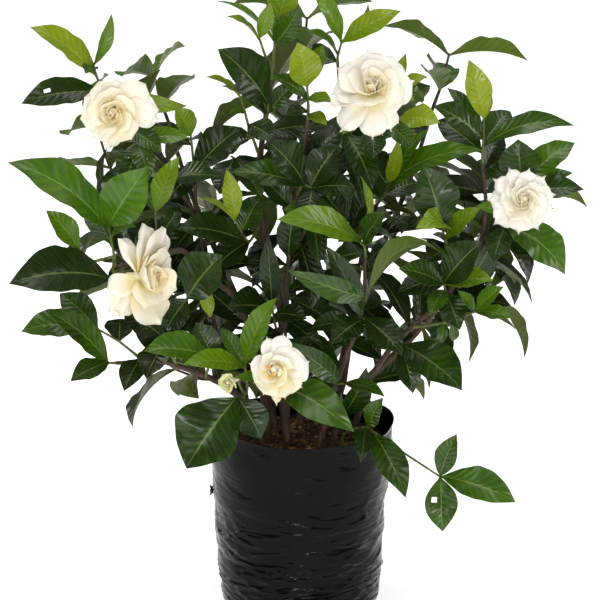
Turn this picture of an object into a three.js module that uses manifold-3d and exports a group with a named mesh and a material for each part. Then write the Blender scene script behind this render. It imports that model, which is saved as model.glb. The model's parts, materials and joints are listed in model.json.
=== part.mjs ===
// Potted gardenia in a black nursery grow bag, in millimetres, +Z up.
// The origin is the centre of the bag's flat base; the photographed front faces -Y.

import * as THREE from 'three';
import Module from 'manifold-3d';

const wasm = await Module();
wasm.setup();

// Driving dimensions
const BAG_HEIGHT = 192;
const BAG_TOP_RADIUS = 94;
const BAG_WAIST_RADIUS = 81;
const BAG_FOOT_RADIUS = 76;
const BAG_WALL = 1.6;
const SOIL_TOP = 171;
const SOIL_FLOOR = 2.2;
const SEAT_GAP = 0.35;
const LEAF_THICKNESS = 1.6;
const PETAL_THICKNESS = 1.3;
const LEAF_CLEARANCE = 0.5;
const STALK_HALF_WIDTH = 1.1;

// The view plane: the eye looks along +Y and 16 degrees down. A place is given as
// [across, down, back]: across and down in the view plane from its left and top edges,
// and the distance back from the bag's axis, all in millimetres.
const VIEW_TILT = THREE.MathUtils.degToRad(16);
const VIEW_AXIS = 300;
const VIEW_FOOT = 605;

const BAG_SIDES = 24;
const STEM_SIDES = 5;
const TWIG_SIDES = 4;
const STEM_STEP = 42;
const LARGE_LEAF = 92;
const NARROW_LEAF = 24;
const WIDTH_GAIN = 1.2;
const CALYX_SIDES = 6;
const USUAL_ARCH = 0.09;
const PLAIN_TONE = 0.2;
const BRANCH_RADII = [4.2, 1.8];
const TWIG_RADII = [1.9, 1.2];
const STALK_RADII = [1.5, 1.5];
const ROOT_DEPTH = 0.6;
const BLADE_LEANING = [1, 3];
const PETAL_ROLL = 13;
const PETAL_ROOT_RADIUS = 4.5;
const LAYER_INSET = 0.9;
const LAYER_RISE = 1.6;

// Seeds of the random draws: one for each kind, and the steps from one repeat to the next
const LEAF_SEED = 1000;
const SPRAY_STEP = 61;
const TWIG_STEP = 211;
const LEAF_STEP = 7;
const BLOOM_SEED = 211;
const BLOOM_STEP = 17;
const BRANCH_SEED = 7003;
const BRANCH_STEP = 131;
const SHOOT_STEP = 17;

// Colours
const COLOURS = {
  bag: '#17181b',
  soil: '#4a3324',
  wood: '#43322a',
  petal: '#f0eadb',
  young: '#7fa01c',
  mid: '#3f741f',
  dark: '#24451d',
};

// Woody stems that stand in the mix: name, then limbs of [[across, down, back], ...] with
// the radius at the limb's foot and at its end.
const STEMS = {
  stem_centre: [
    { route: [[288, 470, 0], [284, 400, 5], [283, 335, 0], [279, 300, 2], [262, 220, 12], [260, 160, 16],
      [266, 120, 15], [271, 82, 12]], radii: [5, 2.2] },
    { route: [[284, 325, 0], [287, 300, -8], [288, 258, -15], [298, 190, -18], [308, 122, -16]],
      radii: [3, 1.8] },
    { route: [[288, 258, -15], [308, 226, -8], [325, 200, -2], [340, 172, 2], [345, 130, 4],
      [338, 77, 6]],
      radii: [2.6, 1.7] },
  ],
  stem_right: [
    { route: [[328, 466, 22], [350, 402, 18], [368, 380, 12], [410, 340, 0], [452, 288, -14],
      [480, 243, -26],
      [501, 229, -36]], radii: [4.6, 2.2] },
    { route: [[480, 243, -26], [484, 205, -20], [480, 165, -15]], radii: [2.4, 1.8] },
  ],
  stem_right_front: [
    { route: [[324, 474, -8], [345, 405, -14], [375, 370, -24], [401, 335, -36], [445, 300, -62]],
      radii: [4, 2] },
  ],
  stem_thin: [
    { route: [[312, 476, -26], [335, 385, -34], [345, 360, -40], [357, 325, -46], [363, 300, -52],
      [364, 257, -60]], radii: [3, 1.6] },
  ],
  stem_inner: [
    { route: [[318, 457, 46], [342, 395, 46], [357, 290, 42], [365, 240, 38], [377, 204, 34]],
      radii: [3.4, 1.8] },
  ],
  stem_left: [
    { route: [[272, 478, -28], [242, 395, -46], [212, 380, -60], [178, 363, -74], [148, 362, -80],
      [119, 362, -82]], radii: [4, 2] },
    { route: [[222, 384, -54], [215, 330, -24], [208, 280, -6], [197, 212, 0], [196, 182, 4]],
      radii: [2.6, 1.8] },
    { route: [[199, 222, -1], [176, 184, -8], [150, 158, -14], [121, 124, -24], [111, 106, -30]],
      radii: [2.2, 1.7] },
  ],
  stem_left_rising: [
    { route: [[268, 464, 18], [264, 400, 4], [245, 310, -22], [228, 292, -32], [212, 276, -40],
      [190, 250, -52], [150, 260, -62], [119, 267, -70]], radii: [4, 1.9] },
  ],
};

// Leafy sprays. Each has the stem that carries it, and twigs with a route and leaves. A leaf is
// [tip across, tip down, tip back, width, roll, place along the twig, tone, arch]: roll turns the
// blade about its midrib in degrees, tone runs from 0, old and dark, to 1, young and yellow-green,
// and arch is the height of the midrib's bow over its chord as a share of the length.
const SPRAYS = {
  spray_top_left: { on: 'stem_left', twigs: [
    { route: [[111, 106, -30], [104, 90, -32], [98, 71, -35]], leaves: [
      [39, 34, -50, 28, 10, 0.75, 0.9], [70, 51, -12, 14, 120, 0.7, 0.5], [117, 22, -35, 13, 55, 1, 0.6],
      [87, 99, -60, 15, 0, 0.95, 0.3], [28, 107, -48, 30, 0, 0.3, 0.2],
      [189, 110, -30, 16, 45, 0.35, 0.8, 0.2],
    ] },
  ] },
  spray_upper_left: { on: 'stem_left', twigs: [
    { route: [[196, 182, 4], [194, 160, 4], [192, 138, 4]], leaves: [
      [177, 110, -6, 22, 0, 1, 0.75], [203, 112, -2, 20, 0, 1, 0.7], [145, 130, 14, 22, 0, 0.8, 0.2],
      [245, 131, 16, 34, 0, 0.22, 0.15], [168, 206, -28, 26, 0, 0.2, 0.1],
    ] },
  ] },
  spray_bloom_upper_left: { on: 'stem_left', twigs: [
    { route: [[150, 158, -14], [136, 140, -32], [126, 124, -52]], bloom: 'bloom_upper_left', leaves: [
      [165, 155, -52, 20, 0, 0.75, 0.3], [190, 140, -36, 18, 0, 0.4, 0.6],
      [128, 187, -50, 27, 0, 0.3, 0.35],
      [152, 182, -60, 20, 0, 0.35, 0.4],
    ] },
  ] },
  spray_left: { on: 'stem_left_rising', twigs: [
    { route: [[119, 267, -70], [118, 257, -74], [116, 246, -76], [113, 228, -78]], leaves: [
      [20, 166, -112, 42, 5, 0.9, 0.5, 0.12], [134, 160, -100, 40, 0, 1, 0.55],
      [136, 225, -104, 14, 0, 0.8, 0.5],
      [92, 208, -40, 24, 0, 0.6, 0.3],
    ] },
    { route: [[118, 257, -74], [98, 262, -80], [84, 251, -86]], leaves: [
      [54, 213, -96, 22, 0, 0.98, 0.55], [72, 274, -72, 13, 0, 0.8, 0.4],
    ] },
    { route: [[118, 257, -74], [117, 270, -84], [118, 282, -88]], leaves: [
      [14, 261, -112, 50, 10, 0.95, 0.15, 0.12],
    ] },
  ] },
  spray_left_inner: { on: 'stem_left_rising', twigs: [
    { route: [[170, 255, -57], [159, 240, -52], [158, 214, -46]], leaves: [
      [181, 160, -56, 21, 0, 1, 0.8], [142, 180, -30, 14, 0, 1, 0.4], [176, 203, -30, 17, 0, 0.4, 0.2],
    ] },
  ] },
  spray_bloom_left: { on: 'stem_left_rising', twigs: [
    { route: [[133, 264, -66], [120, 272, -67], [110, 281, -68]], bloom: 'bloom_left', leaves: [] },
  ] },
  spray_left_centre: { on: 'stem_centre', twigs: [
    { route: [[262, 222, 12], [249, 243, -14], [236, 221, -32]], leaves: [
      [228, 172, -42, 17, 0, 1, 0.9], [202, 205, -58, 12, 60, 0.97, 0.85],
      [193, 218, -60, 34, 0, 0.5, 0.2],
      [262, 196, -18, 24, 0, 0.75, 0.3], [214, 262, -44, 26, 0, 0.45, 0.15],
    ] },
  ] },
  spray_left_low_inner: { on: 'stem_left_rising', twigs: [
    { route: [[212, 276, -40], [203, 284, -52], [188, 300, -66]], leaves: [
      [223, 256, -72, 46, 0, 0.97, 0.25], [212, 317, -60, 12, 0, 0.5, 0.95],
      [168, 330, -70, 30, 0, 0.95, 0.15],
    ] },
  ] },
  spray_top: { on: 'stem_centre', twigs: [
    { route: [[271, 82, 12], [274, 62, 12], [275, 44, 12]], leaves: [
      [295, -26, 4, 27, 0, 1, 0.8], [300, 13, -12, 22, 60, 0.9, 0.35], [220, 4, 16, 15, 40, 1, 0.6],
    ] },
    { route: [[273, 70, 12], [266, 60, 2], [260, 43, -4]], leaves: [
      [230, 22, -22, 13, 30, 1, 0.7], [266, 8, -14, 14, 20, 1, 0.75],
    ] },
  ] },
  spray_top_lower: { on: 'stem_centre', twigs: [
    { route: [[265, 126, 15], [268, 116, 6], [269, 106, -2]], leaves: [
      [221, 54, -20, 42, 0, 0.95, 0.2], [229, 80, 22, 22, 40, 0.4, 0.15], [294, 84, -2, 18, 0, 0.5, 0.3],
    ] },
  ] },
  spray_small_top: { on: 'stem_centre', twigs: [
    { route: [[260, 158, 16], [252, 136, 2], [246, 118, -6], [242, 100, -10]], leaves: [
      [209, 80, -20, 13, 30, 1, 0.85], [232, 114, -20, 7, 0, 0.72, 0.5], [275, 142, -26, 24, 0, 0.5, 0.2],
      [228, 150, 26, 26, 0, 0.3, 0.2],
    ] },
  ] },
  spray_top_centre: { on: 'stem_centre', twigs: [
    { route: [[308, 122, -16], [308, 106, -17], [307, 91, -19]], leaves: [
      [298, 49, -32, 30, 0, 1, 0.95], [322, 48, -6, 16, 0, 1, 0.7], [273, 82, -42, 20, 0, 0.6, 0.4],
      [331, 106, -36, 14, 0, 0.65, 0.7], [286, 119, -46, 13, 0, 0.25, 0.2],
      [326, 128, -42, 13, 0, 0.15, 0.8],
    ] },
  ] },
  spray_top_right: { on: 'stem_centre', twigs: [
    { route: [[338, 77, 6], [337, 61, 4], [341, 46, 2]], leaves: [
      [313, -6, -6, 18, 10, 0.97, 0.7], [368, 10, 10, 24, 130, 1, 0.5],
      [402, 19, -10, 21, 10, 0.95, 0.85],
      [309, 35, -18, 13, 20, 0.6, 0.5], [300, 58, 26, 24, 0, 0.35, 0.2],
    ] },
  ] },
  spray_bloom_top: { on: 'stem_centre', twigs: [
    { route: [[345, 130, 4], [350, 124, -16], [357, 114, -36]], bloom: 'bloom_top', leaves: [
      [342, 138, -54, 14, 0, 0.8, 0.7],
    ] },
    { route: [[350, 124, -16], [372, 110, -6], [396, 90, -4]], leaves: [
      [404, 58, -6, 10, 0, 1, 0.9], [422, 76, -10, 12, 0, 0.97, 0.9], [412, 104, -26, 12, 0, 0.9, 0.8],
      [424, 98, 26, 26, 0, 0.75, 0.4],
    ] },
    { route: [[350, 124, -16], [372, 134, -18], [397, 122, -26]], leaves: [
      [436, 126, -52, 25, 0, 1, 0.95], [410, 150, -30, 20, 0, 0.8, 0.4], [372, 160, -40, 22, 0, 0.5, 0.2],
    ] },
  ] },
  spray_centre_upper: { on: 'stem_centre', twigs: [
    { route: [[297, 196, -18], [303, 186, -30], [312, 190, -40]], leaves: [
      [268, 144, -50, 34, 0, 0.6, 0.15], [233, 174, -44, 26, 0, 0.7, 0.3],
      [337, 148, -36, 30, 0, 0.9, 0.15],
      [352, 186, -50, 26, 0, 1, 0.2], [306, 232, -66, 24, 0, 1, 0.15],
    ] },
  ] },
  spray_centre_left: { on: 'stem_centre', twigs: [
    { route: [[260, 170, 15], [246, 166, 4], [232, 158, -8]], leaves: [
      [262, 198, -36, 22, 0, 0.9, 0.2], [208, 150, 14, 28, 0, 1, 0.2], [224, 196, -22, 26, 0, 0.9, 0.15],
      [276, 140, 42, 30, 0, 0.2, 0.2],
    ] },
  ] },
  spray_right_upper: { on: 'stem_right', twigs: [
    { route: [[480, 165, -15], [481, 142, -15], [481, 122, -15]], leaves: [
      [466, 65, -22, 23, 0, 1, 1], [487, 97, -16, 8, 0, 1, 0.9], [446, 90, 6, 14, 0, 0.7, 0.3],
      [434, 103, -30, 30, 0, 0.5, 0.25], [436, 121, 14, 27, 0, 0.2, 0.15],
      [569, 127, -24, 22, 0, 0.35, 0.35, 0.2], [508, 112, 14, 26, 0, 0.4, 0.3],
    ] },
  ] },
  spray_inner_right: { on: 'stem_inner', twigs: [
    { route: [[377, 204, 34], [384, 196, 22], [388, 184, 14]], leaves: [
      [487, 158, -22, 27, 0, 0.6, 0.5, 0.16], [426, 131, -10, 15, 0, 1, 0.5],
      [397, 142, -22, 13, 50, 1, 0.9],
      [360, 150, 30, 30, 0, 0.9, 0.2], [420, 182, 50, 30, 0, 0.5, 0.2], [340, 186, 56, 30, 0, 0.3, 0.15],
    ] },
  ] },
  spray_right_centre: { on: 'stem_right', twigs: [
    { route: [[452, 288, -14], [448, 258, -36], [440, 230, -54]], leaves: [
      [421, 169, -62, 40, 0, 1, 0.25], [397, 227, -92, 24, 0, 0.97, 0.8, 0.22],
      [476, 209, -64, 18, 0, 0.8, 0.7],
      [470, 236, -10, 30, 0, 0.4, 0.2], [424, 262, -84, 26, 0, 0.6, 0.2],
    ] },
  ] },
  spray_bloom_right: { on: 'stem_right', twigs: [
    { route: [[501, 229, -36], [505, 222, -41], [511, 211, -44]], bloom: 'bloom_right', leaves: [
      [561, 274, -66, 36, 0, 0.2, 0.45, 0.2], [474, 207, -54, 14, 0, 0.6, 0.6],
      [490, 262, -70, 22, 0, 0.1, 0.2],
    ] },
    { route: [[505, 222, -41], [512, 206, -24], [518, 184, -14]], leaves: [
      [515, 142, -18, 37, 0, 1, 0.3], [567, 137, -8, 27, 0, 0.97, 0.5], [580, 190, -26, 24, 0, 0.7, 0.3],
      [572, 168, 6, 15, 0, 0.8, 0.4], [486, 160, -6, 22, 0, 0.8, 0.35], [548, 210, 14, 28, 0, 0.4, 0.2],
    ] },
  ] },
  spray_thin_top: { on: 'stem_thin', twigs: [
    { route: [[364, 257, -60], [364, 251, -66], [362, 245, -72]], leaves: [
      [280, 221, -138, 33, 0, 1, 0.65], [361, 179, -62, 14, 60, 0.9, 0.8],
      [392, 214, -84, 22, 0, 0.9, 0.3],
      [330, 262, -50, 24, 0, 0.3, 0.2],
    ] },
  ] },
  spray_thin_middle: { on: 'stem_thin', twigs: [
    { route: [[363, 302, -51], [366, 296, -62]], leaves: [
      [455, 264, -112, 30, -75, 1, 0.35, 0.3], [289, 272, -116, 21, -50, 0.7, 0.35, 0.16],
    ] },
  ] },
  spray_centre: { on: 'stem_inner', twigs: [
    { route: [[365, 240, 38], [353, 232, 14], [343, 221, -12]], leaves: [
      [290, 205, -62, 25, 0, 1, 0.45], [343, 179, -22, 13, 50, 1, 0.2], [314, 178, 4, 30, 0, 0.8, 0.15],
      [372, 186, 0, 24, 0, 0.6, 0.15],
    ] },
  ] },
  spray_thin_low: { on: 'stem_thin', twigs: [
    { route: [[358, 322, -46], [364, 318, -60]], leaves: [
      [333, 250, -86, 22, 0, 0.5, 0.2], [400, 353, -100, 27, 0, 1, 0.15],
      [332, 338, -92, 27, 0, 0.8, 0.15],
    ] },
  ] },
  spray_thin_foot: { on: 'stem_thin', twigs: [
    { route: [[336, 383, -34], [344, 383, -46]], leaves: [
      [383, 394, -86, 15, 0, 1, 0.4], [290, 342, -92, 21, -40, 0.5, 0.35],
    ] },
  ] },
  spray_centre_low: { on: 'stem_centre', twigs: [
    { route: [[283, 342, 0], [276, 328, -12], [272, 306, -22]], leaves: [
      [268, 238, -44, 18, 0, 1, 0.1], [229, 306, -50, 34, 0, 0.9, 0.15],
      [306, 318, -46, 22, 0, 0.8, 0.15],
      [252, 346, -50, 28, 0, 0.4, 0.1],
    ] },
  ] },
  spray_right_twig: { on: 'stem_right_front', twigs: [
    { route: [[412, 327, -43], [445, 322, -66], [473, 311, -84]], leaves: [
      [455, 291, -92, 11, 0, 0.97, 0.5], [498, 287, -98, 17, 0, 1, 0.5],
      [508, 317, -100, 15, 0, 0.97, 0.5],
      [432, 314, -50, 8, 0, 0.5, 0.3], [440, 343, -72, 9, 0, 0.45, 0.35],
      [452, 341, -60, 9, 0, 0.6, 0.35],
    ] },
  ] },
  spray_right_front: { on: 'stem_right_front', twigs: [
    { route: [[445, 300, -62], [443, 292, -70], [441, 284, -78]], leaves: [
      [397, 269, -98, 25, 0, 0.95, 0.3], [488, 280, -100, 22, 0, 1, 0.7], [472, 238, -92, 34, 0, 1, 0.2],
      [427, 314, -112, 17, 0, 0.6, 0.4], [466, 318, -104, 24, 0, 0.5, 0.2],
    ] },
  ] },
  spray_right_low: { on: 'stem_right_front', twigs: [
    { route: [[396, 341, -34], [401, 344, -52]], leaves: [
      [458, 381, -106, 40, 0, 1, 0.25], [412, 392, -70, 22, 0, 0.8, 0.15],
      [372, 346, -80, 22, 0, 0.9, 0.2],
    ] },
  ] },
  spray_low_centre: { on: 'stem_left', twigs: [
    { route: [[243, 398, -45], [245, 394, -58], [250, 382, -70], [246, 364, -88]], leaves: [
      [276, 298, -112, 24, 0, 1, 0.6], [188, 361, -132, 23, 0, 0.95, 0.7],
      [222, 327, -72, 15, 0, 0.95, 0.4],
      [226, 392, -76, 24, 0, 0.5, 0.15],
    ] },
    { route: [[245, 394, -58], [242, 387, -84], [240, 382, -98]], bloom: 'bloom_faded', leaves: [] },
    { route: [[245, 394, -58], [240, 397, -78], [238, 395, -98]], leaves: [
      [188, 465, -124, 60, 0, 1, 0.25, 0.06], [262, 436, -104, 30, 0, 0.9, 0.15],
    ] },
  ] },
  spray_bloom_low: { on: 'stem_centre', twigs: [
    { route: [[284, 404, 5], [278, 398, -34], [272, 388, -76], [274, 376, -104]],
      bloom: 'bloom_low', leaves: [
      [352, 427, -142, 36, 0, 0.72, 0.4, 0.16], [322, 352, -90, 26, 0, 0.6, 0.15],
      [240, 372, -122, 12, 0, 0.85, 0.5],
    ] },
  ] },
  spray_left_low: { on: 'stem_left', twigs: [
    { route: [[206, 377, -63], [210, 366, -78], [215, 356, -92]], leaves: [
      [154, 343, -130, 33, 0, 1, 0.5], [198, 322, -84, 24, 0, 0.9, 0.2],
    ] },
  ] },
  spray_left_low_inward: { on: 'stem_left', twigs: [
    { route: [[178, 363, -74], [171, 350, -82], [168, 338, -86]], leaves: [
      [126, 312, -70, 30, 0, 1, 0.1], [150, 376, -124, 30, 20, 0.8, 0.1],
      [196, 344, -110, 24, 0, 0.9, 0.2],
    ] },
  ] },
  spray_left_end: { on: 'stem_left', twigs: [
    { route: [[148, 362, -80], [122, 341, -74], [96, 326, -72]], leaves: [
      [25, 330, -70, 30, 0, 1, 0.4], [62, 296, -50, 26, 0, 0.9, 0.3], [122, 318, -50, 26, 0, 0.5, 0.15],
      [128, 388, -118, 22, 0, 0.1, 0.15],
    ] },
  ] },
  spray_left_tip: { on: 'stem_left', twigs: [
    { route: [[119, 362, -82], [112, 362, -86]], leaves: [
      [54, 310, -112, 28, 0, 1, 0.35], [78, 374, -122, 21, 0, 1, 0.3],
    ] },
  ] },
  spray_over_rim: { on: 'soil', twigs: [
    { route: [[338, 470, -30], [342, 440, -36], [352, 421, -45], [381, 437, -76], [410, 456, -96],
      [438, 474, -112]],
      leaves: [
        [381, 397, -82, 18, 0, 0.52, 0.35], [360, 458, -118, 17, 0, 0.5, 0.2],
        [404, 493, -126, 27, 0, 0.55, 0.3],
        [453, 432, -120, 20, 0, 1, 0.35], [511, 497, -142, 32, 0, 1, 0.45],
        [440, 527, -138, 28, 0, 1, 0.4],
      ] },
  ] },
};

// Blooms. The throat is where the petals open and the face is the way the bloom looks. Outer
// petals stand one by one: [clock, length, width, opening at the root, opening at the tip, cup],
// the clock in degrees from the right, anticlockwise as seen from the front. Each whorl inside
// them is [petals, length, width, opening at the root, opening at the tip, cup, first clock].
// An opening is 0 along the bloom's axis and 90 straight outwards.
const BLOOMS = {
  bloom_upper_left: { throat: [119, 117, -66], face: [-0.12, -0.95, 0.18], scale: 1, petals: [
    [8, 39, 36, 70, 90, 0.1], [44, 38, 34, 64, 88, 0.1], [345, 41, 18, 84, 106, 0.15],
    [80, 29, 28, 58, 86, 0.15], [118, 29, 28, 58, 88, 0.15], [156, 29, 28, 60, 92, 0.12],
    [196, 29, 28, 62, 94, 0.12], [232, 30, 28, 64, 96, 0.12], [266, 33, 22, 70, 98, 0.12],
    [306, 29, 30, 64, 94, 0.12],
  ], whorls: [
    [5, 25, 29, 42, 68, 0.25, 24], [4, 20, 25, 24, 46, 0.4, 60], [3, 15, 17, 8, 20, 0.6, 30],
  ] },
  bloom_top: { throat: [370, 97, -50], face: [0.1, -0.72, 0.66], scale: 1, petals: [
    [104, 36, 42, 70, 44, 0.2], [56, 36, 42, 70, 46, 0.2], [10, 38, 42, 76, 50, 0.25],
    [150, 38, 40, 74, 54, 0.25], [192, 36, 32, 80, 74, 0.2], [304, 39, 28, 86, 124, 0.1],
    [272, 44, 28, 84, 120, 0.1], [228, 49, 28, 84, 118, 0.3], [206, 46, 18, 74, 98, 0.5],
    [332, 33, 34, 72, 76, 0.15],
  ], whorls: [
    [4, 30, 38, 46, 54, 0.3, 70], [3, 24, 32, 26, 38, 0.45, 10], [3, 18, 20, 8, 18, 0.7, 30],
  ] },
  bloom_left: { throat: [143, 277, -90], face: [0.78, -0.6, 0.12], scale: 1, petals: [
    [290, 47, 48, 96, 30, 0.2], [252, 42, 28, 94, 114, 0.1], [234, 44, 26, 104, 138, 0.1],
    [196, 34, 24, 96, 126, 0.15], [130, 46, 26, 74, 88, 0.6], [100, 50, 42, 62, 76, 0.35],
    [72, 48, 44, 60, 68, 0.3], [30, 32, 34, 56, 62, 0.3], [334, 34, 38, 70, 44, 0.3],
  ], whorls: [
    [4, 35, 36, 40, 46, 0.35, 60], [3, 27, 30, 22, 30, 0.5, 10], [3, 19, 20, 6, 14, 0.8, 30],
  ] },
  bloom_right: { throat: [518, 202, -62], face: [0.05, -0.93, 0.3], scale: 1, petals: [
    [14, 30, 25, 66, 92, 0.1], [48, 30, 22, 56, 80, 0.1], [80, 32, 20, 52, 74, 0.1],
    [112, 32, 20, 52, 76, 0.1], [146, 32, 22, 58, 86, 0.1], [184, 33, 27, 70, 98, 0.15],
    [220, 33, 28, 74, 102, 0.15], [258, 30, 28, 76, 102, 0.15], [296, 31, 28, 74, 100, 0.15],
    [334, 31, 27, 70, 96, 0.1],
  ], whorls: [
    [7, 25, 23, 50, 70, 0.25, 32], [5, 20, 21, 30, 50, 0.4, 6], [4, 15, 16, 10, 22, 0.6, 30],
  ] },
  bloom_low: { throat: [277, 368, -118], face: [-0.16, -0.92, 0.3], scale: 1, petals: [
    [80, 34, 22, 54, 70, 0.25], [108, 33, 18, 54, 70, 0.3], [8, 28, 36, 74, 58, 0.2],
    [322, 28, 30, 84, 84, 0.15], [286, 25, 30, 90, 88, 0.15], [246, 24, 27, 88, 92, 0.15],
    [262, 33, 12, 98, 112, 0.3], [166, 24, 24, 58, 66, 0.3], [206, 23, 24, 74, 86, 0.2],
    [44, 27, 28, 58, 66, 0.2],
  ], whorls: [
    [4, 20, 23, 36, 50, 0.4, 40], [3, 14, 16, 12, 24, 0.6, 0],
  ] },
  bloom_faded: { throat: [234, 379, -118], face: [-0.45, -0.85, 0.05], scale: 0.625, petals: [],
    whorls: [[4, 15, 14, 18, 36, 0.3, 20], [2, 11, 11, 6, 16, 0.5, 50]] },
};

// Leafy branches at the back, as [x, y, z] routes, with the length share where side shoots start.
const BACK_BRANCHES = {
  branch_back_left: [[-22, 40, 140], [-38, 58, 235], [-76, 92, 320], [-112, 114, 400], [-134, 126, 470]],
  branch_back_middle: [[2, 48, 140], [-2, 62, 245], [-10, 82, 350], [-6, 92, 450], [2, 92, 530]],
  branch_back_right: [[28, 50, 140], [44, 66, 240], [78, 100, 330], [112, 120, 410], [134, 130, 480]],
  branch_side_left: [[-42, 24, 140], [-54, 34, 200], [-104, 62, 262], [-156, 80, 340], [-182, 84, 410]],
  branch_side_right: [[52, 24, 140], [62, 34, 200], [112, 60, 258], [168, 76, 320], [206, 78, 370]],
};
const BACK_SHOOT_PLACES = [0.34, 0.5, 0.66, 0.82];
const BACK_PAIR_PLACES = [0.42, 0.98];
const BACK_SHOOT_LENGTH = 48;
const BACK_LEAF_LENGTH = 88;
const BACK_LEAF_WIDTH = 38;

// Small turns that a leaf may take to pass its neighbours: sideways and upwards, in degrees, and
// the share of its length that it keeps.
const LEAF_TURNS = [
  [0, 0, 1], [0, 7, 1], [0, -7, 1], [7, 0, 1], [-7, 0, 1], [7, 7, 1], [-7, 7, 1], [7, -7, 1], [-7, -7, 1],
  [0, 15, 1], [0, -15, 1], [15, 0, 1], [-15, 0, 1], [14, 14, 1], [-14, 14, 1], [14, -14, 1],
  [-14, -14, 1],
  [0, 24, 0.95], [0, -24, 0.95], [24, 0, 0.95], [-24, 0, 0.95], [0, 0, 0.7], [10, 20, 0.8],
  [-10, 20, 0.8],
  [30, 10, 0.85], [-30, 10, 0.85], [0, 38, 0.85], [0, -38, 0.8], [0, 12, 0.55], [40, 0, 0.7],
  [-40, 0, 0.7],
];

// Distance along the bloom's axis and radius: the green cup, whose flat seat is at 0, and the
// tube and heart of the flower, where the petals open at 0
const CALYX_PROFILE = [[-18, 1.5], [-12, 2.6], [-4, 4.4], [0, 4.9]];
const CORE_PROFILE = [[-16, 3.6], [0, 5.2], [13, 2.4]];

const UP = new THREE.Vector3(0, 0, 1);
const FRONT = new THREE.Vector3(0, -1, 0);

function vector(list) {
  return new THREE.Vector3(...list);
}

// A real place from one in the view plane
function place([across, down, back]) {
  const height = (VIEW_FOOT - down - back * Math.sin(VIEW_TILT)) / Math.cos(VIEW_TILT);
  return new THREE.Vector3(across - VIEW_AXIS, back, height);
}

// Repeatable random numbers from 0 to 1
function makeRandom(seed) {
  let state = seed;
  return () => {
    state = (state * 16807) % 2147483647;
    return state / 2147483647;
  };
}

function perpendicular(reference, direction) {
  return reference.clone().addScaledVector(direction, -reference.dot(direction)).normalize();
}

// A closed solid from rings of points: every ring has the same count, and both ends close
// on a flat cap or, where a ring is a single point, on that point. The four-sided faces after
// each point in leaning are split along their other diagonal.
function loft(rings, leaning = []) {
  const points = [];
  const triangles = [];
  const starts = [];
  for (const ring of rings) {
    starts.push(points.length);
    points.push(...ring);
  }
  const count = Math.max(...rings.map((ring) => ring.length));
  for (let i = 0; i + 1 < rings.length; i += 1) {
    for (let j = 0; j < count; j += 1) {
      const next = (j + 1) % count;
      const lowSingle = rings[i].length === 1;
      const highSingle = rings[i + 1].length === 1;
      const a = starts[i] + (lowSingle ? 0 : j);
      const b = starts[i] + (lowSingle ? 0 : next);
      const c = starts[i + 1] + (highSingle ? 0 : next);
      const d = starts[i + 1] + (highSingle ? 0 : j);
      const other = leaning.includes(j) && !lowSingle && !highSingle;
      if (!lowSingle) triangles.push([a, b, highSingle || other ? c : d]);
      if (!highSingle) triangles.push(other ? [a, c, d] : [b, c, d]);
    }
  }
  const last = starts.length - 1;
  for (let j = 1; j + 1 < count; j += 1) {
    if (rings[0].length > 1) triangles.push([starts[0], starts[0] + j + 1, starts[0] + j]);
    if (rings[last].length > 1) triangles.push([starts[last], starts[last] + j, starts[last] + j + 1]);
  }
  return solidFrom(points, triangles);
}

function solidFrom(points, triangles) {
  const vertProperties = new Float32Array(points.flatMap((p) => [p.x, p.y, p.z]));
  const triVerts = new Uint32Array(triangles.flat());
  return new wasm.Manifold(new wasm.Mesh({ numProp: 3, vertProperties, triVerts }));
}

function ringAround(centre, direction, radius, sides, reference = UP) {
  const side = perpendicular(reference, direction);
  const other = direction.clone().cross(side);
  const ring = [];
  for (let i = 0; i < sides; i += 1) {
    const angle = (i / sides) * 2 * Math.PI;
    ring.push(centre.clone()
      .addScaledVector(side, radius * Math.cos(angle))
      .addScaledVector(other, radius * Math.sin(angle)));
  }
  return ring;
}

// A place on the smooth curve through the points of a route, from 0 to 1
function along(points, share) {
  const spans = points.length - 1;
  const index = Math.min(Math.floor(share * spans), spans - 1);
  const t = share * spans - index;
  const p1 = points[index];
  const p2 = points[index + 1];
  const p0 = index > 0 ? points[index - 1] : p1.clone().multiplyScalar(2).sub(p2);
  const p3 = index + 2 <= spans ? points[index + 2] : p2.clone().multiplyScalar(2).sub(p1);
  const result = new THREE.Vector3();
  result.addScaledVector(p0, -0.5 * t + t * t - 0.5 * t * t * t);
  result.addScaledVector(p1, 1 - 2.5 * t * t + 1.5 * t * t * t);
  result.addScaledVector(p2, 0.5 * t + 2 * t * t - 1.5 * t * t * t);
  result.addScaledVector(p3, -0.5 * t * t + 0.5 * t * t * t);
  return result;
}

// The straight pieces that a stem is built from, as points on its smooth route
function stemLine(points) {
  let span = 0;
  for (let i = 1; i < points.length; i += 1) span += points[i].distanceTo(points[i - 1]);
  const steps = Math.max(2, Math.round(span / STEM_STEP));
  return Array.from({ length: steps + 1 }, (_, i) => along(points, i / steps));
}

// The place at a share of a stem's straight pieces, and the way the stem runs there
function onStem(line, share) {
  const index = Math.min(Math.floor(share * (line.length - 1)), line.length - 2);
  return line[index].clone().lerp(line[index + 1], share * (line.length - 1) - index);
}

function wayOnStem(line, share) {
  const index = Math.min(Math.floor(share * (line.length - 1)), line.length - 2);
  return line[index + 1].clone().sub(line[index]).normalize();
}

// A round stem along a route, thinning from its foot to its end
function stemSolid(points, [footRadius, endRadius], sides, extra = 0) {
  const line = stemLine(points);
  const rings = line.map((point, i) => {
    const share = i / (line.length - 1);
    const before = Math.max(0, share - 0.5 / (line.length - 1));
    const way = wayOnStem(line, share).add(wayOnStem(line, before)).normalize();
    const radius = footRadius + (endRadius - footRadius) * share + extra;
    return ringAround(point, way, radius, sides, new THREE.Vector3(0.3, 1, 0.1));
  });
  return loft(rings);
}

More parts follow.
